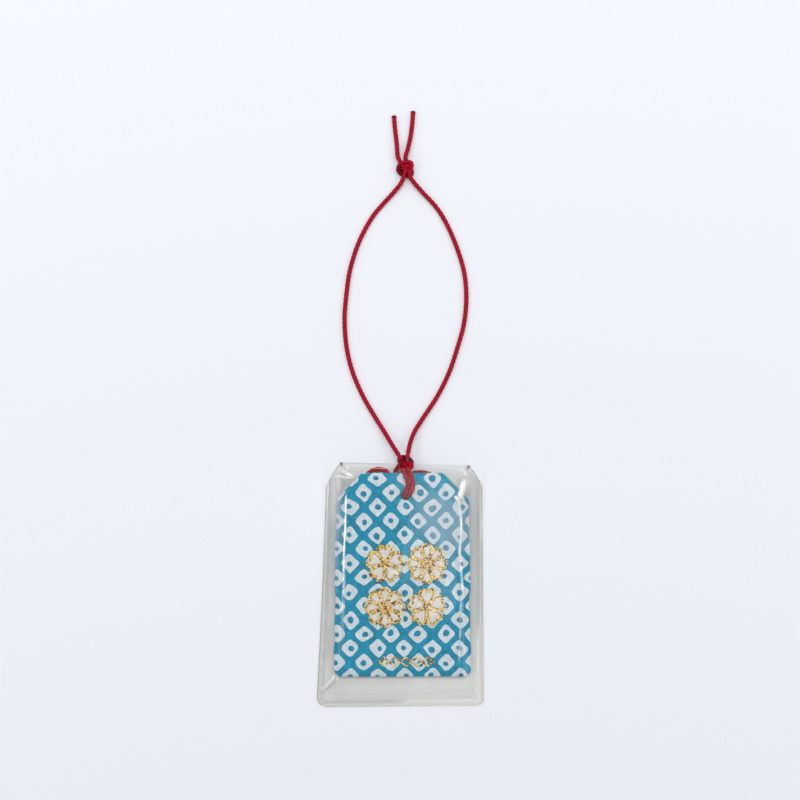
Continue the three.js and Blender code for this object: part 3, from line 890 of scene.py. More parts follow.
class ThreadMesh:
    """Collects swept threads and sheets into one mesh."""

    def __init__(self) -> None:
        """Starts empty."""
        self.places: list[np.ndarray] = []
        self.faces: list[list[int]] = []
        self.lays: list[list[tuple[float, float]]] = []
        self.marks: list[np.ndarray] = []
        self.count = 0

    def thread(
        self,
        line: np.ndarray,
        radius: float | np.ndarray,
        sides: int = 8,
        relief: Callable[[np.ndarray, np.ndarray], np.ndarray] | None = None,
        mark: np.ndarray | None = None,
    ) -> None:
        """Sweeps a round thread with closed ends.

        Args:
            line: its centreline.
            radius: one radius, or one at each place.
            sides: how many faces go round it.
            relief: how far the surface stands out, as a share of the radius, by turn and length.
            mark: a value for each place, kept as an attribute.
        """
        _, side, other = frames_along(line)
        gaps = np.linalg.norm(np.diff(line, axis=0), axis=1)
        along = np.concatenate([[0.0], np.cumsum(gaps)])
        turn = np.arange(sides) / sides
        reach = np.broadcast_to(np.asarray(radius, float), (len(line),))[:, None] * np.ones(sides)
        if relief is not None:
            reach = reach * (1 + relief(turn[None, :], along[:, None]))
        angle = 2 * math.pi * turn
        rings = line[:, None, :] + reach[..., None] * (
            np.cos(angle)[None, :, None] * side[:, None, :] + np.sin(angle)[None, :, None] * other[:, None, :]
        )
        base, last = self.count, (len(line) - 1) * sides
        self.places.append(np.vstack([rings.reshape(-1, 3), line[:1], line[-1:]]))
        worth = np.zeros(len(line)) if mark is None else mark
        self.marks.append(np.concatenate([np.repeat(worth, sides), worth[:1], worth[-1:]]))
        for row in range(len(line) - 1):
            for column in range(sides):
                a = base + row * sides + column
                b = base + row * sides + (column + 1) % sides
                u, v, w = column / sides, along[row], along[row + 1]
                self.faces.append([a, b, b + sides, a + sides])
                self.lays.append([(u, v), (u + 1 / sides, v), (u + 1 / sides, w), (u, w)])
        for column in range(sides):
            after = (column + 1) % sides
            first, final = base + last + sides, base + last + sides + 1
            self.faces.append([first, base + after, base + column])
            self.faces.append([final, base + last + column, base + last + after])
            self.lays.append([(column / sides, along[0])] * 3)
            self.lays.append([(column / sides, along[-1])] * 3)
        self.count += len(line) * sides + 2

    def finish(self, name: str, mark_name: str = "") -> bpy.types.Object:
        """Writes the mesh.

        Args:
            name: the piece's name.
            mark_name: the attribute that keeps the threads' marks, if any.

        Returns:
            The new object, at the origin.
        """
        mesh = bpy.data.meshes.new(name)
        mesh.from_pydata((np.vstack(self.places) * MM).tolist(), [], self.faces)
        layer = mesh.uv_layers.new(name="lay")
        layer.data.foreach_set("uv", np.array([uv for face in self.lays for uv in face]).ravel())
        if mark_name:
            kept = mesh.attributes.new(mark_name, "FLOAT", "POINT")
            kept.data.foreach_set("value", np.concatenate(self.marks))
        mesh.polygons.foreach_set("use_smooth", [True] * len(mesh.polygons))
        mesh.update()
        made = bpy.data.objects.new(name, mesh)
        bpy.context.scene.collection.objects.link(made)
        return made


def braid_relief(turn: np.ndarray, along: np.ndarray) -> np.ndarray:
    """Returns how far a braided cord's plaits stand out, as a share of its radius."""
    one = np.abs(np.sin(math.pi * (turn * BRAID_PLAITS + along / BRAID_PITCH)))
    two = np.abs(np.sin(math.pi * (turn * BRAID_PLAITS - along / BRAID_PITCH)))
    return BRAID_RELIEF * (one * two) ** 0.7 - BRAID_SINK


def add_cord(
    strand: ThreadMesh,
    line: np.ndarray,
    seared_end: bool = False,
    slimming: np.ndarray | None = None,
    dark: np.ndarray | None = None,
) -> None:
    """Adds a length of braided cord to a mesh.

    Args:
        strand: the mesh.
        line: the cord's centreline.
        seared_end: whether its last end is a cut and seared one, with a swollen tip.
        slimming: a share of the radius at each place.
        dark: how much painted shade it has at each place, from 0 to 1.
    """
    left = length_of(line) - np.linspace(0.0, length_of(line), len(line))
    radius = np.full(len(line), CORD_DIAMETER / 2)
    # The mark starts as painted shade, where one is given.
    mark = np.zeros(len(line)) if dark is None else dark
    if slimming is not None:
        radius = radius * slimming
    if seared_end:
        tip = np.clip(1 - left / SEARED_LENGTH, 0, 1)
        rounded = np.sqrt(np.clip(left / 0.25, 0.16, 1))
        radius = radius * (1 + SEARED_SWELL * np.sin(tip * math.pi)) * rounded
        mark = np.clip(1.7 - left / 0.5, 0, 1)
    strand.thread(line, radius, CORD_SIDES, braid_relief, mark)


def cord_piece(name: str, line: np.ndarray, **looks: bool | np.ndarray) -> bpy.types.Object:
    """Makes a piece of one length of cord.

    Args:
        name: the piece's name.
        line: its centreline.
        looks: what add_cord is to be told.

    Returns:
        The new object.
    """
    strand = ThreadMesh()
    add_cord(strand, line, **looks)
    return strand.finish(name, "sear_and_shade")


def select_only(piece: bpy.types.Object) -> None:
    """Deselects everything and makes one piece the active one."""
    bpy.ops.object.select_all(action="DESELECT")
    piece.select_set(True)
    bpy.context.view_layer.objects.active = piece


def apply_modifier(piece: bpy.types.Object, kind: str, **settings: object) -> None:
    """Adds a modifier to a piece and applies it.

    Args:
        piece: the object.
        kind: the modifier's type.
        settings: properties to set on it.
    """
    select_only(piece)
    made = piece.modifiers.new(kind.lower(), kind)
    for name, value in settings.items():
        setattr(made, name, value)
    bpy.ops.object.modifier_apply(modifier=made.name)


def grid_piece(name: str, columns: int, rows: int) -> bpy.types.Object:
    """Adds a flat grid of faces to be shaped.

    Args:
        name: the piece's name.
        columns: how many places lie across it.
        rows: how many lie up it.

    Returns:
        The grid, one unit wide and high, with its places in rows.
    """
    bpy.ops.object.select_all(action="DESELECT")
    bpy.ops.mesh.primitive_grid_add(x_subdivisions=columns - 1, y_subdivisions=rows - 1, size=1.0)
    made = bpy.context.active_object
    made.name = made.data.name = name
    return made


def grid_shares(piece: bpy.types.Object) -> tuple[np.ndarray, np.ndarray]:
    """Returns how far across and up the grid each of its places lies, from 0 to 1."""
    flat = places_of(piece)
    return np.clip(flat[:, 0] + 0.5, 0, 1), np.clip(flat[:, 1] + 0.5, 0, 1)


def crowded_shares(share: np.ndarray, spots: Sequence[float], spread: float, extra: float) -> np.ndarray:
    """Moves even shares closer together round a few spots, so that a grid is finer there.

    Args:
        share: even shares, from 0 to 1.
        spots: where the grid is to be finer.
        spread: how wide each finer zone is.
        extra: how much denser its middle is.

    Returns:
        The moved shares.
    """
    fine = np.linspace(0, 1, 2001)
    density = 1 + sum(extra * np.exp(-(((fine - spot) / spread) ** 2)) for spot in spots)
    total = np.concatenate([[0.0], np.cumsum((density[1:] + density[:-1]) / 2)])
    return np.interp(share, total / total[-1], fine)


def set_places(piece: bpy.types.Object, x: np.ndarray, y: np.ndarray, z: np.ndarray) -> None:
    """Moves a mesh's places, given in millimetres."""
    piece.data.vertices.foreach_set("co", (np.column_stack([x, y, z]) * MM).ravel())
    piece.data.update()


def smooth_faces(piece: bpy.types.Object, angle: float = 40.0) -> None:
    """Shades a piece smooth, with sharp edges past an angle in degrees."""
    select_only(piece)
    bpy.ops.object.shade_smooth_by_angle(angle=math.radians(angle))


def ripple(x: np.ndarray, y: np.ndarray, reach: float, seed: int, waves: int = 9) -> np.ndarray:
    """Makes a gentle uneven relief out of a few crossing waves.

    Args:
        x: places across.
        y: places up.
        reach: the shortest distance from crest to crest.
        seed: which relief to make.
        waves: how many waves cross.

    Returns:
        Heights that stay between about -1 and 1.
    """
    chance = np.random.default_rng(seed)
    total = np.zeros_like(x)
    for _ in range(waves):
        angle, phase = chance.uniform(0, 2 * math.pi, 2)
        length = reach * chance.uniform(1.0, 2.6)
        total += np.sin(2 * math.pi * (x * math.cos(angle) + y * math.sin(angle)) / length + phase)
    return total / math.sqrt(waves)


def clamped_low(first: np.ndarray, second: np.ndarray | float, bend: float) -> np.ndarray:
    """Returns the lower of two heights, with the corner between them rounded over a bend."""
    share = np.clip(0.5 + (second - first) / (2 * bend), 0, 1)
    return second * (1 - share) + first * share - bend * share * (1 - share)


class Wardrobe:
    """Keeps the materials, and puts finished pieces on their bodies."""

    def __init__(self, frame: dict) -> None:
        """Makes every material once.

        Args:
            frame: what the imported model's loader gave.
        """
        effects = Effects(tone_drift(), cross_threads())
        self.nodes = frame["nodes"]
        self.melt = PressedPaper("melted_film", colour("85857B"), 2.5, 0.05).material(effects)
        self.materials = {
            Slot.FILM: ClearSoftFilm().material(effects),
            Slot.BROCADE: DappledBrocade().material(effects),
            Slot.CORD: BraidedCord().material(effects),
            Slot.SATIN: SpunThread().material(effects),
            Slot.GOLD: COUCHED_GOLD.material(effects),
            Slot.WOOD: PaleWood().material(effects),
            Slot.PAPER: PressedPaper().material(effects),
            Slot.CARD: PressedPaper("stiff_card", colour("E8E2D2"), 2.2, 0.04).material(effects),
        }

    def dress(
        self,
        piece: bpy.types.Object,
        body: Body,
        slot: Slot,
        replaced: Sequence[str] = (),
    ) -> bpy.types.Object:
        """Gives a new piece its material and its body.

        Args:
            piece: the finished piece.
            body: what it moves with.
            slot: which finish it wears.
            replaced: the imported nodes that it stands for.

        Returns:
            The piece.
        """
        piece.data.materials.clear()
        piece.data.materials.append(self.materials[slot])
        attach(piece, body.value)
        if replaced:
            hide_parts(*replaced)
        LOG.info("%s: %d faces on %s", piece.name, len(piece.data.polygons), body.value)
        return piece

    def redress(self, node: str, slot: Slot) -> None:
        """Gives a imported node, whose shape is kept, a procedural material."""
        kept = self.nodes[node]
        for holder in kept.material_slots:
            holder.material = self.materials[slot]
        LOG.info("%s keeps its shape in %s", node, slot.value)


# ---- sub-assemblies ----


@dataclass
class PouchPlace:
    """Where the pouch lies: it leans on the ornamental knot behind it."""

    offset_x: float = 0.5
    bottom_y: float = -29.3
    middle_z: float = 1.9
    lean: float = 0.0491

    def in_row(self, x: np.ndarray, y: np.ndarray, z: np.ndarray) -> tuple[np.ndarray, ...]:
        """Turns places on the pouch into places in the row's frame.

        Args:
            x: across from the middle of its bottom edge.
            y: up from that edge.
            z: out from its middle plane.

        Returns:
            The same places in the row's frame.
        """
        slope, level = math.sin(self.lean), math.cos(self.lean)
        return (
            np.asarray(x) + self.offset_x,
            self.bottom_y + np.asarray(y) * level - np.asarray(z) * slope,
            self.middle_z + np.asarray(y) * slope + np.asarray(z) * level,
        )


@dataclass(frozen=True)
class Crease:
    """One small crease in the film: where it starts and ends, its height and its width."""

    x: float
    y: float
    end_x: float
    end_y: float
    height: float = 0.3
    width: float = 0.5


CREASES = (
    Crease(-19.9, 37.4, -14.9, 34.3, 0.5, 0.36),
    Crease(-20.9, 34.9, -15.4, 34.2, 0.4, 0.32),
    Crease(-20.1, 37.6, -19.8, 29.4, 0.13, 0.4),
    Crease(20.8, 34.2, 18.3, 27.0, 0.6, 0.8),
    Crease(16.9, 28.5, 19.1, 25.5, 0.3, 0.3),
    Crease(18.6, 29.6, 21.0, 25.0, 0.24, 0.3),
    Crease(18.5, 26.5, 18.9, 20.5, 0.2, 0.35),
    Crease(20.0, 36.9, 20.8, 34.4, 0.3, 0.5),
    Crease(21.6, 37.6, 21.8, 29.5, 0.12, 0.4),
    Crease(-20.9, -29.0, -25.7, -34.8, 0.45, 0.5),
    Crease(-20.2, -29.6, -19.8, -37.6, 0.15, 0.45),
    Crease(-23.9, -12.0, -24.3, -25.0, 0.16, 0.45),
    Crease(22.6, -27.0, 23.1, -38.4, 0.1, 0.35),
)


@dataclass(frozen=True)
class SleeveSide:
    """One side of the sleeve: drawn in up to its shoulder, cut aslant above it.

    Its tip lies a drop below the mouth's height and its bottom hangs by some slack, with a round corner.
    """

    draw: float
    shoulder: float
    tip_drop: float
    slack: float
    corner: float


@dataclass(frozen=True)
class RidgeMark:
    """How a ridge of the film carries a painted highlight: up to and down to which height, and how strongly.
    """

    high: float
    low: float
    white: float


@dataclass
class ClearSleeve:
    """Two films welded round three sides, the front one standing over the pouch like a tent."""

    place: PouchPlace
    width: float = 53.2
    height: float = 78.0
    film: float = 0.3
    weld: float = 1.0
    left: SleeveSide = SleeveSide(2.6, 4.5, 0.0, 0.5, 3.3)
    right: SleeveSide = SleeveSide(0.5, 4.1, 1.0, 0.1, 2.3)
    shoulder_drop: float = 7.6
    front_drop: float = 1.1
    left_run: float = 5.7
    right_run: float = 6.0
    low_run: float = 0.7
    bottom_run: float = 8.5
    low_rise: float = 1.15
    high_rise: float = 1.75
    wander: float = 0.3
    ridge_bend: float = 0.13
    # How strongly each ridge, the welds, the upper left side and the folds carry painted highlight.
    left_mark: RidgeMark = RidgeMark(29.2, -22.0, 1.0)
    right_mark: RidgeMark = RidgeMark(25.5, -27.0, 1.45)
    ridge_line: float = 0.29
    weld_line: float = 0.22
    weld_highlight: float = 0.3
    upper_highlight: float = 0.6
    fold_highlight: float = 2.6
    most_highlight: float = 1.5
    columns: int = 190
    rows: int = 190
    left_flare: float = 0.55
    flare_height: float = 50.0
    # Where the front film's painted reflection lies and how strong it gets.
    bloom_middle: tuple[float, float] = (14.5, 20.5)
    bloom_reach: tuple[float, float] = (11.0, 11.0)
    bloom_lean: float = 0.25
    streak_bloom: float = 2.0
    most_bloom: float = 2.5
    sag_y: float = -33.9
    sag_gap: float = 2.4
    tent_slack: float = 3.0
    face_height: float = 1.45
    pouch_height: float = 65.0
    cord_x: float = 1.9
    cord_room: float = 6.0
    cut: dict[str, float] = field(default_factory=dict)

    def side_x(self, y: np.ndarray, side: SleeveSide) -> np.ndarray:
        """Returns how far from the middle one side of the sleeve is at heights y."""
        bottom, top, half = -self.height / 2 - side.slack, self.height / 2, self.width / 2
        shoulder_y = top - self.shoulder_drop
        up = np.clip((y - bottom) / (shoulder_y - bottom), 0, 1)
        turn = np.clip((y - shoulder_y) / (top - side.tip_drop - shoulder_y), 0, 1)
        low = np.clip(side.corner - (y - bottom), 0, side.corner)
        round_off = side.corner - np.sqrt(np.maximum(side.corner**2 - low**2, 0))
        return half - side.draw * up - side.shoulder * turn - round_off

    def low_y(self, x: np.ndarray) -> np.ndarray:
        """Returns the height of the sleeve's bottom edge, which hangs lower on the left."""
        share = np.clip(x / self.width + 0.5, 0, 1)
        return -self.height / 2 - self.left.slack - (self.right.slack - self.left.slack) * share

    def outline(self, across: np.ndarray, up: np.ndarray, drop: float) -> tuple[np.ndarray, np.ndarray]:
        """Lays a grid over the sleeve's outline.

        Args:
            across: share across the grid.
            up: share up the grid.
            drop: how far the mouth is lowered.

        Returns:
            Places across and up, in millimetres.
        """
        left_y, right_y = (
            up * (self.height + side.slack - side.tip_drop - drop) - self.height / 2 - side.slack
            for side in (self.left, self.right)
        )
        left_x = -self.side_x(left_y, self.left) - self.flare(left_y)
        right_x = self.side_x(right_y, self.right)
        return left_x + across * (right_x - left_x), left_y + across * (right_y - left_y)

    def flare(self, y: np.ndarray) -> np.ndarray:
        """Returns how far the lower left side stands out from a straight line."""
        share = (y + self.height / 2 + self.left.slack) / self.flare_height
        return self.left_flare * np.clip(1 - share, 0, 1) ** 1.5

    def weld_distance(self, x: np.ndarray, y: np.ndarray, side: SleeveSide, way: int) -> np.ndarray:
        """Returns how far inside one side's weld a place is."""
        straight = self.height - self.shoulder_drop
        edge = self.width / 2 - self.weld - side.draw * (y + self.height / 2) / straight
        return edge - way * x

    def to_ridges(self, x: np.ndarray, y: np.ndarray) -> tuple[np.ndarray, np.ndarray]:
        """Returns how far places are from either weld, as shares of the way to its ridge."""
        up = y - self.place.bottom_y
        strayed = self.wander * ripple(y, 0 * y, 9.0, 21)
        wider = self.low_run * np.clip(1 - up / 60, 0, 1)
        left = self.weld_distance(x, y, self.left, -1) / (self.left_run + wider + 0.4 * strayed)
        right = self.weld_distance(x, y, self.right, 1) / (self.right_run + wider - strayed)
        return left, right

    def crests(self, x: np.ndarray, y: np.ndarray) -> np.ndarray:
        """Returns the painted highlight on the film: along its ridges, welds and creases, and in a lighter
        streak up its upper left side.
        """
        left, right = self.to_ridges(x, y)
        uneven = 0.62 + 0.38 * ripple(y, 0 * y, 5.0, 33)
        total = np.zeros_like(x)
        sides = ((left, self.left_run, self.left_mark), (right, self.right_run, self.right_mark))
        for share, run, mark in sides:
            line = bell((share - 1.0) * run, self.ridge_line)
            ends = part_of(mark.high - y, 2.5) * part_of(y - mark.low, 6)
            fading = 0.5 + 0.5 * part_of(y + 12, 25)
            total += mark.white * np.clip(uneven, 0.3, 1) * fading * line * ends
        for share, run, _ in sides:
            welded = bell(share * run + 0.4, self.weld_line) * part_of(y + 37, 3)
            total += self.weld_highlight * (1 + 0.5 * ripple(y, 0 * y, 7.0, 35)) * welded
        # Painted light: a lighter streak along the upper left side, inside the weld.
        upper = bell(left - 0.3, 0.33) * part_of(y - 14, 10)
        total += self.upper_highlight * (1 + 0.4 * ripple(x, 0 * x, 1.6, 47)) * upper
        return np.clip(total + self.fold_highlight * self.folds(x, y), 0, self.most_highlight)

    def bloom(self, x: np.ndarray, y: np.ndarray) -> np.ndarray:
        """Returns the painted reflection on the film: most in the upper right, in streaks along its welds and
        in bands below the pouch.
        """
        slanted = x - self.bloom_middle[0] + self.bloom_lean * (y - self.bloom_middle[1])
        away = np.hypot(slanted / self.bloom_reach[0], (y - self.bloom_middle[1]) / self.bloom_reach[1])
        edge = away + 0.06 * ripple(x, y, 9.0, 41)
        left, right = self.to_ridges(x, y)
        streak = bell(left - 0.4, 0.3) * part_of(y + 8, 20) + bell(right - 0.35, 0.2) * part_of(y - 5, 20)
        # Painted light bands on the film just below the pouch.
        sagging = y - self.sag_y - 0.02 * x + 0.25 * ripple(x, 0 * x, 16.0, 44)
        below = 0.8 * bell(sagging, 0.55) + 0.5 * bell(sagging + self.sag_gap, 0.8)
        streak += below * part_of(24 - np.abs(x), 3)
        patch = 1.15 * part_of(1.2 - edge, 0.6) ** 1.3
        return np.clip(patch + self.streak_bloom * streak, 0, self.most_bloom)

    @staticmethod
    def shoulder_curve(share: np.ndarray, bend: float) -> np.ndarray:
        """Returns the film's rise: steep from its weld, easier over the pouch's edge, then level."""
        over_edge = clamped_low(1.5 * share, 0.5 + 0.5 * share, 0.08)
        return clamped_low(np.maximum(over_edge, 0), 1.0, bend)

    def inside(self, x: np.ndarray, y: np.ndarray) -> np.ndarray:
        """Returns the height of the front film's inner face.

        Args:
            x: places across.
            y: places up.

        Returns:
            Heights in millimetres.
        """
        lean = self.place.lean
        up = y - self.place.bottom_y
        left, right = self.to_ridges(x, y)
        face = self.place.middle_z + up * math.tan(lean) + self.face_height / math.cos(lean)
        rise = self.low_rise + (self.high_rise - self.low_rise) * up / self.pouch_height
        left, right = self.shoulder_curve(left, self.ridge_bend), self.shoulder_curve(right, self.ridge_bend)
        low = part_of(y - self.low_y(x) - self.weld, self.bottom_run)
        bottom = np.sin(math.pi / 2 * low)
        swell = 0.035 * ripple(x, y, 22.0, 5) * left * right * bottom
        tall = face + rise - self.film
        return self.film + tall * left * right * bottom + swell + self.folds(x, y)

    @staticmethod
    def folds(x: np.ndarray, y: np.ndarray) -> np.ndarray:
        """Returns the small creases that run from the sleeve's corners to the pouch's."""
        total = np.zeros_like(x)
        for crease in CREASES:
            along_x, along_y = crease.end_x - crease.x, crease.end_y - crease.y
            length = math.hypot(along_x, along_y)
            share = ((x - crease.x) * along_x + (y - crease.y) * along_y) / length**2
            off = ((x - crease.x) * -along_y + (y - crease.y) * along_x) / length
            fade = np.sin(math.pi * np.clip(share, 0, 1)) ** 0.7
            total += crease.height * fade * bell(off, crease.width)
        return total

    def inset(self, x: np.ndarray, y: np.ndarray, drop: float) -> np.ndarray:
        """Returns how far inside the sleeve's cut edge places are.

        The mouth has no weld, so only its last bit counts, and not where the cord passes it.
        """
        left = x + self.side_x(y, self.left) + self.flare(y)
        right = self.side_x(y, self.right) - x
        low = y - self.low_y(x) + 0.13
        mouth = self.height / 2 - drop - self.right.tip_drop * (x / self.width + 0.5) - y
        welded = np.minimum(np.minimum(left, right), low)
        cut = 0.14 + np.maximum(mouth, 0) / 2
        at_mouth = (mouth < 0.35) & (np.abs(x - self.cord_x) > self.cord_room)
        return np.maximum(np.where(at_mouth, np.minimum(welded, cut), welded), 0)

    def sheet(
        self, name: str, drop: float, height: Callable[[np.ndarray, np.ndarray], np.ndarray]
    ) -> bpy.types.Object:
        """Makes one film.

        Args:
            name: the piece's name.
            drop: how far its mouth edge is lowered.
            height: gives the film's lower face at places across and up.

        Returns:
            The film, as thick as it is, with its weld kept as an attribute.
        """
        piece = grid_piece(name, self.columns, self.rows)
        across, up = grid_shares(piece)
        across = crowded_shares(across, (0.13, 0.86), 0.055, 1.6)
        up = crowded_shares(up, (0.94, 0.05), 0.05, 1.2)
        x, y = self.outline(across, up, drop)
        z = height(x, y)
        set_places(piece, x, y, z)
        marks = {"inset": self.inset(x, y, drop)}
        # The front film also keeps its painted highlight and painted reflection as attributes.
        if drop:
            marks.update(crest=self.crests(x, y), bloom=self.bloom(x, y))
        for mark, values in marks.items():
            piece.data.attributes.new(mark, "FLOAT", "POINT").data.foreach_set("value", values)
        self.cut[name] = sum(face.area for face in piece.data.polygons)
        apply_modifier(piece, "SOLIDIFY", thickness=self.film * MM, offset=1.0, use_even_offset=True)
        smooth_faces(piece, 50.0)
        return piece

    def build(self, wardrobe: Wardrobe) -> None:
        """Makes both films."""
        back = self.sheet("clear_back_film", 0.0, lambda x, y: np.zeros_like(x))
        wardrobe.dress(back, Body.SLEEVE, Slot.FILM, ["sleeve_back_film"])
        front = self.sheet("clear_front_film", self.front_drop, self.inside)
        wardrobe.dress(front, Body.SLEEVE, Slot.FILM, ["sleeve_front_film"])
        tips = wardrobe.dress(self.melted_tips(), Body.SLEEVE, Slot.FILM)
        tips.data.materials[0] = wardrobe.melt

    def melted_tips(self) -> bpy.types.Object:
        """Makes the small melted nub at each end of the mouth, where the side welds run out."""
        nubs = ThreadMesh()
        top = self.height / 2
        for x, y, way in (
            (self.left.draw + self.left.shoulder - self.width / 2, top, -1),
            (self.width / 2 - self.right.draw - self.right.shoulder, top - self.right.tip_drop, 1),
        ):
            steps = ((-0.45, -1.1, 0.5), (-0.35, -0.5, 0.55), (-0.25, 0.12, 0.55))
            line = smooth_line([(x + out * way, y + up, z) for out, up, z in steps], 0.12)
            share = np.linspace(0, 1, len(line))
            nubs.thread(line, 0.16 + 0.19 * np.sin(math.pi * share**1.4) ** 0.8, 12)
        return nubs.finish("melted_weld_tips")


@dataclass
class BrocadePouch:
    """Two brocade panels, soft at the edge, with a hole for the cord."""

    place: PouchPlace
    bottom_width: float = 43.6
    top_width: float = 42.6
    height: float = 65.0
    shoulder: float = 8.4
    clip: float = 1.3
    cloth: float = 0.5
    seam_gap: float = 0.1
    cavity: float = 0.9
    edge_round: float = 3.0
    edge_crowding: float = 0.025
    edge_tuck: float = 0.22
    unevenness: float = 0.05
    hem_y: float = 61.6
    hem_depth: float = 0.28
    hole_x: float = 1.0
    hole_y: float = 58.0
    hole_diameter: float = 3.0
    hole_pull: float = 0.25
    columns: int = 132
    rows: int = 150

    def half_width(self, y: np.ndarray) -> np.ndarray:
        """Returns half the pouch's width at heights above its bottom edge."""
        low, high = self.bottom_width / 2, self.top_width / 2
        shoulder_y = self.height - self.shoulder
        side = low + (high - low) * np.clip(y / shoulder_y, 0, 1)
        corner = clamped_low(side, low - self.clip + y, 0.35)
        return clamped_low(corner, high - (y - shoulder_y), 0.7)

    def inside_edge(self, x: np.ndarray, y: np.ndarray) -> np.ndarray:
        """Returns how far inside the pouch's outline places are."""
        slant = (self.half_width(y) - np.abs(x)) / math.sqrt(2)
        side = self.half_width(np.full_like(y, 20.0)) - np.abs(x)
        shoulders = np.where(y > self.height - self.shoulder - 3, slant, side)
        return np.minimum(np.minimum(np.minimum(side, shoulders), y), self.height - y)

    def panel(self, name: str, way: int, seed: int) -> bpy.types.Object:
        """Makes one panel.

        Args:
            name: the piece's name.
            way: 1 for the front and -1 for the back.
            seed: which uneven relief the cloth has.

        Returns:
            The panel in its place.
        """
        piece = grid_piece(name, self.columns, self.rows)
        across, up = grid_shares(piece)
        across, up = (share - self.edge_crowding * np.sin(4 * math.pi * share) for share in (across, up))
        y = up * self.height
        edge = self.half_width(y) - self.edge_tuck * (1 + ripple(y, way + 0 * y, 4.5, seed))
        x = (2 * across - 1) * edge
        depth = part_of(self.inside_edge(x, y), self.edge_round)
        crown = self.seam_gap / 2 + self.cavity * np.sin(math.pi / 2 * depth)
        soft = self.unevenness * ripple(x, y, 7.0, seed) * depth
        hem = self.hem_depth * bell(y - self.hem_y - 0.3 * ripple(x, 0 * x, 8.0, 51), 0.4) * depth
        from_hole = np.hypot(x - self.hole_x, y - self.hole_y)
        pull = self.hole_pull * bell(from_hole - 1.6, 1.2)
        z = crown + soft - hem - pull
        set_places(piece, x * way, y, z * way)
        if way < 0:
            piece.data.flip_normals()
        apply_modifier(piece, "SOLIDIFY", thickness=self.cloth * MM, offset=1.0, use_even_offset=True)
        self.cut_hole(piece)
        local = places_of(piece) / MM
        set_places(piece, *self.place.in_row(*local.T))
        smooth_faces(piece, 50.0)
        return piece

    def cut_hole(self, piece: bpy.types.Object) -> None:
        """Cuts the cord's hole through a panel, from a round cutter."""
        bpy.ops.object.select_all(action="DESELECT")
        bpy.ops.mesh.primitive_cylinder_add(
            vertices=32,
            radius=self.hole_diameter / 2 * MM,
            depth=20 * MM,
            location=(self.hole_x * MM, self.hole_y * MM, 0),
        )
        cutter = bpy.context.active_object
        apply_modifier(piece, "BOOLEAN", operation="DIFFERENCE", object=cutter, solver="EXACT")
        bpy.data.objects.remove(cutter)

    def build(self, wardrobe: Wardrobe) -> None:
        """Makes both panels, and dresses what they hold."""
        front = self.panel("brocade_front", 1, 11)
        wardrobe.dress(front, Body.CHARM, Slot.BROCADE, ["pouch_front_panel"])
        back = self.panel("brocade_back", -1, 12)
        wardrobe.dress(back, Body.CHARM, Slot.BROCADE, ["pouch_back_panel"])
        for panel, card in ((front, "stiffener_card_front"), (back, "stiffener_card_back")):
            wardrobe.redress(card, Slot.CARD)
        wardrobe.redress("wooden_slip", Slot.WOOD)
        wardrobe.redress("slip_wrapper", Slot.PAPER)


class FlowerKind(Enum):
    """The two flowers: petals, how deep their clefts are as a share, and the notch in each tip."""

    BLOSSOM = (5, 0.66, 1.1)
    ROSETTE = (8, 0.74, 0.0)


FLOWERS = (
    ("upper_left", FlowerKind.BLOSSOM, -5.6, 36.3),
    ("upper_right", FlowerKind.ROSETTE, 7.8, 36.3),
    ("lower_left", FlowerKind.ROSETTE, -5.6, 22.3),
    ("lower_right", FlowerKind.BLOSSOM, 7.8, 22.3),
)


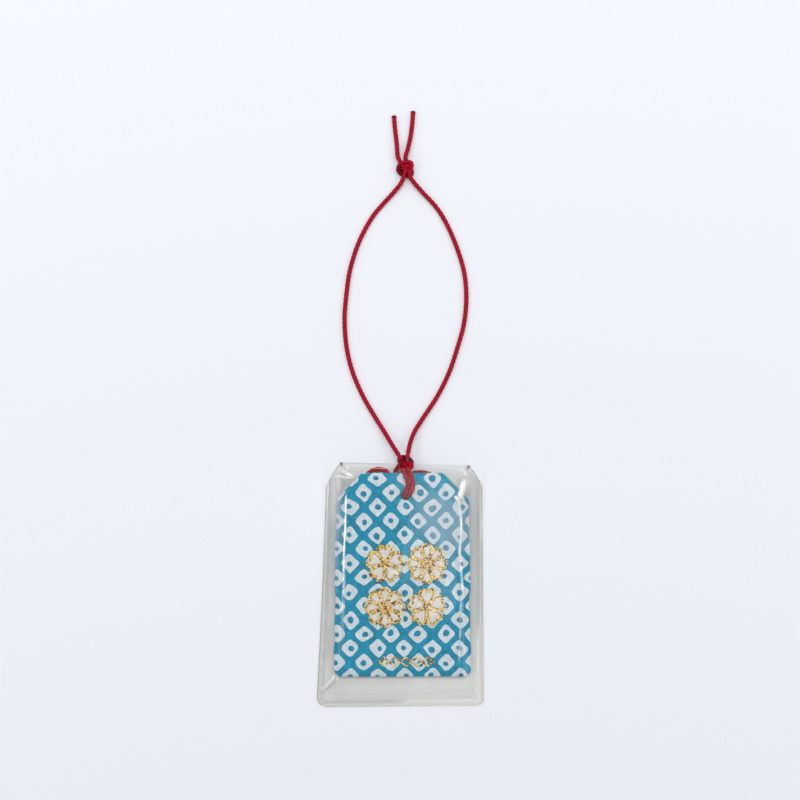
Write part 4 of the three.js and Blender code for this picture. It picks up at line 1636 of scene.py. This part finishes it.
@dataclass
class StitchedFlower:
    """One flower: padded satin stitches across each petal, and gold stitches laid aslant round them."""

    place: PouchPlace
    where: str
    kind: FlowerKind
    x: float
    y: float
    radius: float = 6.7
    fullness: float = 0.55
    notch_share: float = 0.42
    gold_width: float = 0.72
    gold_gap: float = 0.66
    eye: float = 1.4
    stitch_pitch: float = 0.25
    stitch_radius: float = 0.16
    base_z: float = 1.5
    pad: float = 0.3
    padded_width: float = 2.5
    shortest: float = 0.35
    gold_rise: float = 0.3
    gold_radius: float = 0.25

    @property
    def half_petal(self) -> float:
        """Half the angle that one petal takes up."""
        return math.pi / self.kind.value[0]

    def reach(self, angle: np.ndarray) -> np.ndarray:
        """Returns how far out a petal reaches at angles from its own middle line."""
        _, cleft, notch = self.kind.value
        half = self.half_petal
        swell = np.clip(np.cos(angle / half * math.pi / 2), 0, 1) ** self.fullness
        nick = np.maximum(0, 1 - np.abs(angle) / (half * self.notch_share)) * notch
        return self.radius * (cleft + (1 - cleft) * swell) - nick

    def axes(self) -> list[float]:
        """Returns the direction of each petal, in radians."""
        petals = self.kind.value[0]
        return [math.pi / 2 + 2 * math.pi * at / petals for at in range(petals)]

    def on_pouch(self, x: np.ndarray, y: np.ndarray, z: np.ndarray) -> np.ndarray:
        """Returns places on the flower in the row's frame."""
        return np.column_stack(self.place.in_row(x + self.x, y + self.y, z))

    def window(self, samples: int = 40) -> np.ndarray:
        """Returns the outline of one petal's satin, with the petal pointing up Y."""
        half = self.half_petal
        tuck = self.gold_width * 0.8
        inner = max(self.eye, tuck / math.sin(half))
        angles = np.linspace(-half, half, samples)
        radii = self.reach(angles) - tuck - self.gold_gap / 2
        side = half - np.arcsin(np.clip(tuck / radii, 0, 1))
        angles = np.clip(angles, -side, side)
        outer = np.column_stack([radii * np.sin(angles), radii * np.cos(angles)])
        turn = half - math.asin(min(1.0, tuck / inner))
        aside, up = inner * math.sin(turn), inner * math.cos(turn)
        return np.vstack([outer, [(aside, up), (-aside, up)]])

    def satin(self) -> bpy.types.Object:
        """Lays satin stitches side by side across each petal."""
        outline = self.window()
        after = np.roll(outline, -1, axis=0)
        threads = ThreadMesh()
        chance = np.random.default_rng(3 + len(self.where))
        for axis in self.axes():
            turn = axis - math.pi / 2
            ca, sa = math.cos(turn), math.sin(turn)
            lowest, highest = outline[:, 1].min() + 0.1, outline[:, 1].max() - 0.05
            for level in np.arange(lowest, highest, self.stitch_pitch):
                cross = (outline[:, 1] - level) * (after[:, 1] - level) < 0
                share = (level - outline[cross, 1]) / (after[cross, 1] - outline[cross, 1])
                cuts = np.sort(outline[cross, 0] + share * (after[cross, 0] - outline[cross, 0]))
                for low, high in zip(cuts[::2], cuts[1::2]):
                    if high - low < self.shortest:
                        continue
                    s = np.linspace(0, 1, 9)
                    px = low + (high - low) * s
                    py = level + chance.uniform(-0.04, 0.04)
                    arch = np.sqrt(np.clip(1 - (2 * s - 1) ** 2, 0, 1))
                    lift = self.pad * np.minimum(1, (high - low) / self.padded_width)
                    pz = self.base_z + lift * arch + chance.uniform(0, 0.04)
                    line = self.on_pouch(px * ca - py * sa, px * sa + py * ca, pz)
                    # Each satin stitch gets a random painted glint.
                    glint = np.full(len(line), chance.uniform(0.55, 1))
                    threads.thread(line, self.stitch_radius, 6, mark=glint)
        return threads.finish("satin_stitches_" + self.where, "glint")

    def outline_line(self, inset: float) -> np.ndarray:
        """Returns a gold line round the flower, closed on itself, at a distance inside its edge."""
        half = self.half_petal
        rows = []
        for axis in self.axes():
            angles = np.linspace(-half, half, 28, endpoint=False)
            radii = self.reach(angles) - inset
            rows.append(np.column_stack([radii * np.cos(axis + angles), radii * np.sin(axis + angles)]))
        ring = np.vstack(rows)
        return np.vstack([ring, ring[:1]])

    def gold_lines(self) -> list[np.ndarray]:
        """Returns every line that gold thread follows, flat on the flower."""
        half = self.half_petal
        edge = self.gold_width / 2
        lines = [self.outline_line(edge), self.outline_line(edge + self.gold_gap)]
        cleft = self.reach(np.array([half]))[0] - edge
        for axis in self.axes():
            radii = np.linspace(self.eye * 0.75, cleft, 12)
            ca, sa = math.cos(axis + half), math.sin(axis + half)
            out = np.column_stack([radii * ca, radii * sa])
            aside = np.array([-sa, ca]) * self.gold_gap * 0.42
            lines.extend([out + aside, out - aside])
        turn = np.linspace(0.6, 4.6 * math.pi, 60)
        coil = 0.1 + (self.eye - 0.1) * turn / turn[-1]
        lines.append(np.column_stack([coil * np.cos(turn), coil * np.sin(turn)]))
        return lines

    def gold(self) -> bpy.types.Object:
        """Stitches gold thread aslant over the lines, close together, so that it looks like rope."""
        threads = ThreadMesh()
        chance = np.random.default_rng(17 + len(self.where))
        for flat in self.gold_lines():
            line = self.on_pouch(flat[:, 0], flat[:, 1], np.full(len(flat), self.base_z + self.gold_rise))
            lay_aslant(threads, smooth_line(line, GOLD_PITCH), self.gold_width, self.gold_radius, chance)
        return threads.finish("gold_couching_" + self.where, "glint")

    def build(self, wardrobe: Wardrobe) -> None:
        """Makes the satin and the gold of this flower."""
        wardrobe.dress(self.satin(), Body.CHARM, Slot.SATIN, ["satin_fill_" + self.where])
        wardrobe.dress(self.gold(), Body.CHARM, Slot.GOLD, ["gold_outline_" + self.where])


def lay_aslant(
    threads: ThreadMesh, line: np.ndarray, width: float, radius: float, chance: np.random.Generator
) -> None:
    """Lays short arched stitches aslant over a line, each a little different in height and shine.

    Args:
        threads: the mesh to add to.
        line: places along the line, one for each stitch.
        width: the width of the finished rope.
        radius: the radius of the thread.
        chance: where the small differences come from.
    """
    tangents, side, _ = frames_along(line)
    reach = (width / 2 - radius) * side + 0.3 * width * tangents
    for middle, half in zip(line, reach):
        share = np.linspace(-1, 1, 6)[:, None]
        arch = (0.2 + chance.uniform(0, 0.08)) * np.sqrt(np.clip(1 - share**2, 0, 1))
        stitch = middle + half * share * chance.uniform(0.9, 1.08) + arch * (0.0, 0.0, 1.0)
        # Each gold stitch gets a painted glint, chosen at random.
        glint = chance.choice(GLINTS)
        threads.thread(stitch, radius * chance.uniform(0.9, 1.1), 5, mark=np.full(len(stitch), glint))


@dataclass
class LozengeBorder:
    """A row of small gold lozenges: two zigzag gold threads that cross between them."""

    place: PouchPlace
    middle_x: float = 1.1
    row_y: float = 4.8
    width: float = 3.5
    height: float = 3.4
    count: int = 5
    line: float = 0.8
    thread_radius: float = 0.19
    base_z: float = 1.5
    crossing_rise: float = 0.06

    def build(self, wardrobe: Wardrobe) -> None:
        """Makes the row."""
        threads = ThreadMesh()
        chance = np.random.default_rng(29)
        start = self.middle_x - self.count * self.width / 2
        for way in (1, -1):
            corners = []
            for step in range(2 * self.count + 1):
                sign = way * (0, 1, 0, -1)[step % 4]
                corners.append((start + step * self.width / 2, self.row_y + sign * (self.height / 2 - 0.3)))
            dense = []
            for (x0, y0), (x1, y1) in zip(corners, corners[1:]):
                s = np.linspace(0, 1, 6, endpoint=False)
                dense.append(np.column_stack([x0 + (x1 - x0) * s, y0 + (y1 - y0) * s]))
            flat = np.vstack([*dense, [corners[-1]]])
            lift = self.base_z + (self.crossing_rise if way > 0 else 0.0)
            line = np.column_stack(self.place.in_row(flat[:, 0], flat[:, 1], np.full(len(flat), lift)))
            lay_aslant(threads, smooth_line(line, GOLD_PITCH), self.line, self.thread_radius, chance)
        piece = threads.finish("gold_lozenge_stitches", "glint")
        wardrobe.dress(piece, Body.CHARM, Slot.GOLD, ["gold_stitch_row"])


@dataclass
class RearKnot:
    """The ornamental knot behind the pouch: a woven square with two loops on each side."""

    x: float = -0.4
    y: float = 31.6
    z: float = 1.795
    pitch: float = 1.5
    reach: float = 2.6
    lift: float = 0.62
    strands: int = 4

    def woven(self, line: int, upright: bool) -> np.ndarray:
        """Returns one strand of the woven square, over one neighbour and under the next."""
        far_up = 0.85 if upright and line in (1, 2) else 0.0
        along = np.linspace(-self.reach, self.reach + far_up, 40)
        place = (line - (self.strands - 1) / 2) * self.pitch
        phase = (along / self.pitch + line + (1 if upright else 0)) * math.pi
        lift = np.cos(phase - math.pi / 2) * self.lift
        across = np.full_like(along, place)
        parts = (across, along, lift) if upright else (along, across, lift)
        return np.column_stack(parts) + (self.x, self.y, self.z)

    def core(self) -> bpy.types.Object:
        """Weaves the middle of the knot, with its strands' ends turned back below."""
        cords = ThreadMesh()
        for line in range(self.strands):
            for upright in (False, True):
                add_cord(cords, smooth_line(self.woven(line, upright), CORD_STEP))
        for middle in (-1.5, 1.5):
            turn = np.linspace(math.pi, 2 * math.pi, 13)
            ca, sa = np.cos(turn), np.sin(turn)
            bight = np.column_stack([middle + 0.75 * ca, -self.reach + 0.8 * sa, 0.15 * sa])
            add_cord(cords, smooth_line(bight + (self.x, self.y, self.z), CORD_STEP))
        over = [(-2.25, 2.5, 0.0), (-1.9, 3.35, 0.5), (0.0, 3.75, 0.85), (1.9, 3.35, 0.5), (2.25, 2.5, 0.0)]
        add_cord(cords, smooth_line(np.array(over) + (self.x, self.y, self.z), CORD_STEP))
        return cords.finish("woven_rear_knot", "sear_and_shade")

    def loops(self) -> dict[str, list[Point]]:
        """Returns the side loops' routes, from the knot's middle."""
        low = 1.175 - self.z
        return {
            "left_outer": [
                (-2.3, 2.25, 0.0), (-3.35, 2.4, 0.0), (-4.1, 4.4, low), (-6.8, 5.3, low),
                (-9.9, 4.0, low), (-11.25, 0.8, low), (-9.9, -2.6, low), (-6.8, -3.9, low),
                (-4.6, -3.5, low), (-3.35, -2.35, 0.0), (-2.3, -2.25, 0.0),
            ],
            "left_inner": [
                (-2.3, 0.75, 0.0), (-3.35, 0.8, 0.0), (-4.75, 1.5, low), (-6.7, 3.55, low),
                (-8.7, 2.7, low), (-9.6, 0.6, low), (-8.7, -1.5, low), (-6.6, -2.25, low),
                (-4.6, -1.55, low), (-3.35, -0.8, 0.0), (-2.3, -0.75, 0.0),
            ],
            "right_outer": [
                (2.3, 2.25, 0.0), (3.5, 2.4, 0.0), (4.2, 3.75, low), (7.0, 4.2, low),
                (10.4, 3.2, low), (12.2, 0.3, low), (10.6, -2.7, low), (7.2, -3.8, low),
                (4.7, -3.5, low), (3.5, -2.35, 0.0), (2.3, -2.25, 0.0),
            ],
            "right_inner": [
                (2.3, 0.75, 0.0), (3.35, 0.8, 0.0), (4.9, 1.55, low), (7.0, 2.5, low),
                (9.6, 1.75, low), (10.5, 0.2, low), (9.5, -1.5, low), (7.1, -2.15, low),
                (4.8, -1.6, low), (3.35, -0.8, 0.0), (2.3, -0.75, 0.0),
            ],
        }

    def build(self, wardrobe: Wardrobe) -> None:
        """Makes the knot and its four loops."""
        wardrobe.dress(self.core(), Body.CHARM, Slot.CORD, ["rear_knot_core"])
        for side, route in self.loops().items():
            line = smooth_line(np.array(route) + (self.x, self.y, self.z), CORD_STEP)
            piece = cord_piece("rear_loop_" + side, line)
            wardrobe.dress(piece, Body.CHARM, Slot.CORD, ["rear_ear_" + side])


@dataclass
class OverhandKnot:
    """Both strands of the cord tied together in one overhand knot."""

    x: float
    y: float
    z: float
    width: float
    height: float
    depth: float
    side: int = -1
    front: int = -1
    tail: float = 2.02
    squeeze: float = 0.88
    tight: float = 0.88
    hollow_shade: float = 0.95
    hollow_rise: float = 1.1
    hollow_fade: float = 1.6
    samples: int = 90

    def strand(self, way: int, first: float = -1.0, last: float = 1.0) -> np.ndarray:
        """Returns the centreline of one strand, from below the knot to above it.

        Args:
            way: -1 for the left strand and 1 for the right one.
            first: where on the curve it starts, from -1 to 1.
            last: where it ends.

        Returns:
            Places along it.
        """
        t = np.linspace(first, last, self.samples) * self.tail
        across = ((t**4 - 4 * t**2) / 4 + 0.5) * (self.width - 2 * CORD_DIAMETER) * self.side
        up = (t**3 - 3 * t) / 2 * (self.height - CORD_DIAMETER) / 2
        out = (t**5 - 10 * t) / 12 * (self.depth - CORD_DIAMETER) / 2 * self.front
        line = np.column_stack([across, up, out])
        tangent = np.gradient(line, axis=0)
        flat = np.column_stack([tangent[:, 1], -tangent[:, 0], np.zeros(len(t))])
        flat /= np.maximum(np.linalg.norm(flat, axis=1, keepdims=True), 1e-6)
        spread = CORD_DIAMETER / 2 * self.squeeze * way
        return line + flat * spread + (self.x, self.y, self.z)

    def piece(self, name: str) -> bpy.types.Object:
        """Makes the knot out of its two strands."""
        cords = ThreadMesh()
        for way in (-1, 1):
            line = smooth_line(self.strand(way, -0.9, 0.9), CORD_STEP)
            # Painted shade: strands lying lower in the knot are darkened, as in the shade of its hollows.
            dark = self.hollow_shade * part_of(self.z + self.hollow_rise - line[:, 2], self.hollow_fade)
            add_cord(cords, line, slimming=np.full(len(line), self.tight), dark=dark)
        return cords.finish(name, "sear_and_shade")


@dataclass
class PouchCords:
    """The strands that hold the pouch: two over its top edge into the hole, two up its back."""

    knot: OverhandKnot
    hole_shade: float = 0.9
    hole_shade_y: float = 29.9
    hole_shade_fade: float = 1.6
    inner_step: int = 14

    def routes(self) -> dict[str, list[Point]]:
        """Returns the four routes, each with the node that it stands for."""
        left, right = (
            [tuple(strand[self.inner_step]), tuple(strand[0])]
            for strand in (self.knot.strand(way) for way in (-1, 1))
        )
        return {
            "front_strap_left": [
                *left, (0.75, 36.95, 5.9), (1.0, 36.1, 6.95), (1.7, 34.6, 7.4), (2.1, 32.6, 7.35),
                (1.95, 30.6, 7.2), (1.0, 28.7, 6.9), (0.72, 28.35, 5.6), (0.72, 28.4, 4.2), (0.72, 28.4, 3.0),
            ],
            "front_strap_right": [
                *right, (2.35, 36.95, 5.9), (2.65, 36.1, 6.95), (3.4, 34.6, 7.4), (3.75, 32.6, 7.35),
                (3.5, 30.4, 7.2), (2.6, 28.7, 6.9), (2.27, 28.35, 5.6), (2.27, 28.4, 4.2), (2.27, 28.4, 3.0),
            ],
            "rear_strand_left": [
                (-1.7, 34.6, 1.9), (-1.8, 35.2, 2.0), (-1.85, 35.9, 2.2), (-1.5, 36.8, 2.5),
                (-0.8, 37.7, 3.0), (0.2, 38.6, 3.4),
            ],
            "rear_strand_right": [
                (0.35, 34.6, 1.9), (0.4, 35.05, 2.0), (0.7, 35.6, 2.1), (1.1, 36.3, 2.4),
                (1.4, 37.0, 2.8), (1.6, 38.2, 3.3),
            ],
        }

    def build(self, wardrobe: Wardrobe) -> None:
        """Makes the four strands and the knot that they are tied in."""
        for node, route in self.routes().items():
            line = smooth_line(route, CORD_STEP)
            # Painted shade: the straps darken as they go down into the pouch's hole.
            hole_shade_mark = self.hole_shade * part_of(self.hole_shade_y - line[:, 1], self.hole_shade_fade)
            piece = cord_piece("cord_" + node, line, dark=hole_shade_mark)
            wardrobe.dress(piece, Body.CHARM, Slot.CORD, [node])
        tied = self.knot.piece("tied_base_knot")
        wardrobe.dress(tied, Body.KNOT, Slot.CORD, ["base_knot"])


@dataclass
class HangingLoop:
    """The two strands of the hanging loop, the knot that closes it and its cut ends."""

    top: OverhandKnot
    rest_z: float = 0.8
    tucked_steps: int = 12
    tucked_share: float = 0.93

    def strand_routes(self) -> dict[str, list[Point]]:
        """Returns the listed routes of both strands, from the base knot up."""
        rest = self.rest_z
        return {
            "left": [
                (0.2, 40.0, 4.3), (-0.85, 41.6, 4.0), (-3.0, 45.0, 3.1), (-5.3, 48.8, 2.0),
                (-7.7, 52.6, 1.2), (-12.2, 60.3, rest), (-15.5, 68.0, rest), (-17.4, 75.7, rest),
                (-18.1, 85.0, rest), (-17.5, 93.0, rest), (-16.3, 101.0, rest), (-13.3, 110.2, rest),
                (-9.1, 117.9, rest), (-5.9, 121.8, 0.95), (-2.4, 125.6, 1.35), (0.25, 129.0, 1.9),
            ],
            "right": [
                (1.95, 40.3, 4.2), (2.3, 42.2, 4.0), (2.9, 45.0, 3.1), (4.3, 48.8, 2.0),
                (6.65, 52.6, 1.2), (11.7, 60.3, rest), (15.5, 68.0, rest), (18.1, 75.7, rest),
                (20.2, 83.4, rest), (21.0, 92.0, rest), (20.2, 100.5, rest), (17.1, 110.2, rest),
                (13.4, 117.9, rest), (10.6, 121.8, 0.95), (7.0, 125.6, 1.35), (4.0, 129.0, 1.9),
                (3.0, 130.5, 2.1),
            ],
        }

    def end_routes(self) -> dict[str, list[Point]]:
        """Returns the routes of the cut ends above the top knot."""
        rest = self.rest_z
        return {
            "left": [
                (-1.0, 137.0, 2.1), (-1.15, 138.4, 1.9), (-1.35, 141.2, 1.3), (-1.65, 144.0, 0.9),
                (-2.0, 147.0, rest), (-2.25, 150.45, rest),
            ],
            "right": [
                (1.5, 137.0, 2.1), (2.0, 138.8, 1.9), (2.6, 141.2, 1.3), (3.15, 144.0, 0.9),
                (3.6, 147.5, rest), (3.95, 151.9, rest),
            ],
        }

    def build(self, wardrobe: Wardrobe) -> None:
        """Makes the strands, the top knot and the ends, and logs how long each loop cord is."""
        tied = wardrobe.dress(self.top.piece("tied_top_knot"), Body.LOOP, Slot.CORD, ["top_knot"])
        for side, way in (("left", -1), ("right", 1)):
            route = [*map(tuple, self.top.strand(way, 0.7, 0.92)[::16]), *self.end_routes()[side]]
            piece = cord_piece("cut_end_" + side, smooth_line(route, CORD_STEP), seared_end=True)
            wardrobe.dress(piece, Body.LOOP, Slot.CORD, ["cord_end_" + side])
        for side, way in (("left", -1), ("right", 1)):
            closing = self.top.strand(way, -0.84, -0.7)[::44]
            route = [*self.strand_routes()[side], *map(tuple, closing)]
            line = smooth_line(route, CORD_STEP)
            slim = np.ones(len(line))
            slim[: self.tucked_steps] = slim[-self.tucked_steps :] = self.tucked_share
            piece = wardrobe.dress(
                cord_piece("loop_cord_" + side, line, slimming=slim),
                Body.LOOP,
                Slot.CORD,
                ["loop_strand_" + side],
            )
            LOG.info("loop cord %s is %.1f mm long", side, length_of(line))


@dataclass(frozen=True)
class SoftLamp:
    """One soft lamp: its place and its width and height in millimetres, and its power in watts."""

    name: str
    at: Point
    size: tuple[float, float]
    power: float


LAMPS = (
    SoftLamp("left_strip", (-430, 90, 560), (95, 540), 0.6),
    SoftLamp("right_strip", (430, 40, 560), (95, 620), 0.5),
    SoftLamp("far_strip", (60, 640, 560), (1150, 110), 0.8),
    SoftLamp("overhead", (0, 330, 1150), (700, 420), 6.3),
    SoftLamp("high_soft", (60, -215, 1250), (110, 110), 0.12),
)


@dataclass
class Studio:
    """Plain floor, soft lamps and a long camera that looks straight down."""

    floor_colour: Colour = colour("F0F4FA")
    floor_size: float = 6000.0
    floor_drop: float = 0.06
    room_colour: Colour = colour("F8F8F8")
    room_light: float = 0.36
    room_seen: float = 0.9
    lamp_reach: float = 1150.0
    far_glow: float = 0.56
    view_x: float = -0.3
    view_y: float = 59.04
    view_width: float = 256.0
    view_z: float = 3.0
    lens: float = 90.0
    sensor: float = 36.0
    lit_y: float = 30.0

    def camera(self) -> None:
        """Puts the camera at the photograph's place."""
        away = self.view_z + self.view_width * self.lens / self.sensor
        place = (self.view_x * MM, self.view_y * MM, away * MM)
        bpy.ops.object.camera_add(location=place, rotation=(0, 0, 0))
        made = bpy.context.active_object
        made.data.lens = self.lens
        made.data.sensor_width = self.sensor
        made.data.clip_start = 0.01
        bpy.context.scene.camera = made

    def hang(self, lamp: SoftLamp) -> None:
        """Hangs one lamp so that it faces the charm."""
        bpy.ops.object.light_add(type="AREA", location=[part * MM for part in lamp.at])
        made = bpy.context.active_object
        made.name = lamp.name
        made.data.shape = "RECTANGLE"
        made.data.size, made.data.size_y = lamp.size[0] * MM, lamp.size[1] * MM
        made.data.energy = lamp.power
        away = (made.location - Vector((0.0, self.lit_y * MM, 0.0))).normalized()
        across = Vector((0.0, 1.0, 0.0)).cross(away).normalized()
        turned = Matrix((across, away.cross(across), away)).transposed()
        made.rotation_euler = turned.to_euler()

    def floor(self) -> None:
        """Lays the pale floor, which keeps the shadow and stays pale where the lamps don't reach."""
        bpy.ops.mesh.primitive_plane_add(size=self.floor_size * MM, location=(0, 0, -self.floor_drop * MM))
        made = bpy.context.active_object
        made.name = "pale_floor"
        material = bpy.data.materials.new("pale_floor")
        material.use_nodes = True
        graph = Graph(material.node_tree)
        shader = material.node_tree.nodes["Principled BSDF"]
        seen = graph.seen_by("Is Camera Ray", "Is Glossy Ray", "Is Transmission Ray")
        x, y, _ = graph.split(graph.place_mm())
        away = graph.math("MULTIPLY_ADD", x, x, graph.times(y, y))
        lit = graph.math("POWER", graph.math("MULTIPLY_ADD", away, self.lamp_reach**-2, 1.0), -2.0)
        glow = graph.math("MULTIPLY_ADD", lit, -self.far_glow, self.far_glow)
        graph.fill(shader, {
            "Base Color": self.floor_colour,
            "Roughness": 0.9,
            "Specular IOR Level": 0.1,
            "Emission Color": self.floor_colour,
            "Emission Strength": graph.times(seen, glow),
        })
        made.data.materials.append(material)

    def world(self) -> None:
        """Fills the room with a low even light that looks pale to the camera."""
        made = bpy.data.worlds.new("studio")
        bpy.context.scene.world = made
        made.use_nodes = True
        graph = Graph(made.node_tree)
        shader = made.node_tree.nodes["Background"]
        seen = graph.seen_by("Is Camera Ray", "Is Glossy Ray")
        strength = graph.ramp(seen, 0.0, 1.0, self.room_light, self.room_seen)
        graph.fill(shader, {"Color": self.room_colour, "Strength": strength})

    def build(self) -> None:
        """Makes the camera, the room and the lamps."""
        self.camera()
        self.floor()
        self.world()
        for lamp in LAMPS:
            self.hang(lamp)
        bpy.context.scene.view_settings.view_transform = "Standard"


def main() -> None:
    """Builds the charm piece by piece."""
    logging.basicConfig(level=logging.INFO, format="%(message)s")
    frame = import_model()
    Studio().build()
    wardrobe = Wardrobe(frame)
    base = OverhandKnot(1.45, 38.9, 4.0, 5.7, 4.1, 3.8, side=1, tight=0.8, squeeze=0.95, hollow_rise=1.5)
    top = OverhandKnot(1.3, 133.1, 2.1, 6.1, 4.6, 4.2, front=1)
    HangingLoop(top).build(wardrobe)
    PouchCords(base).build(wardrobe)
    RearKnot().build(wardrobe)
    place = PouchPlace()
    BrocadePouch(place).build(wardrobe)
    for flower in FLOWERS:
        StitchedFlower(place, *flower).build(wardrobe)
    LozengeBorder(place).build(wardrobe)
    ClearSleeve(place).build(wardrobe)


if __name__ == "__main__":
    main()
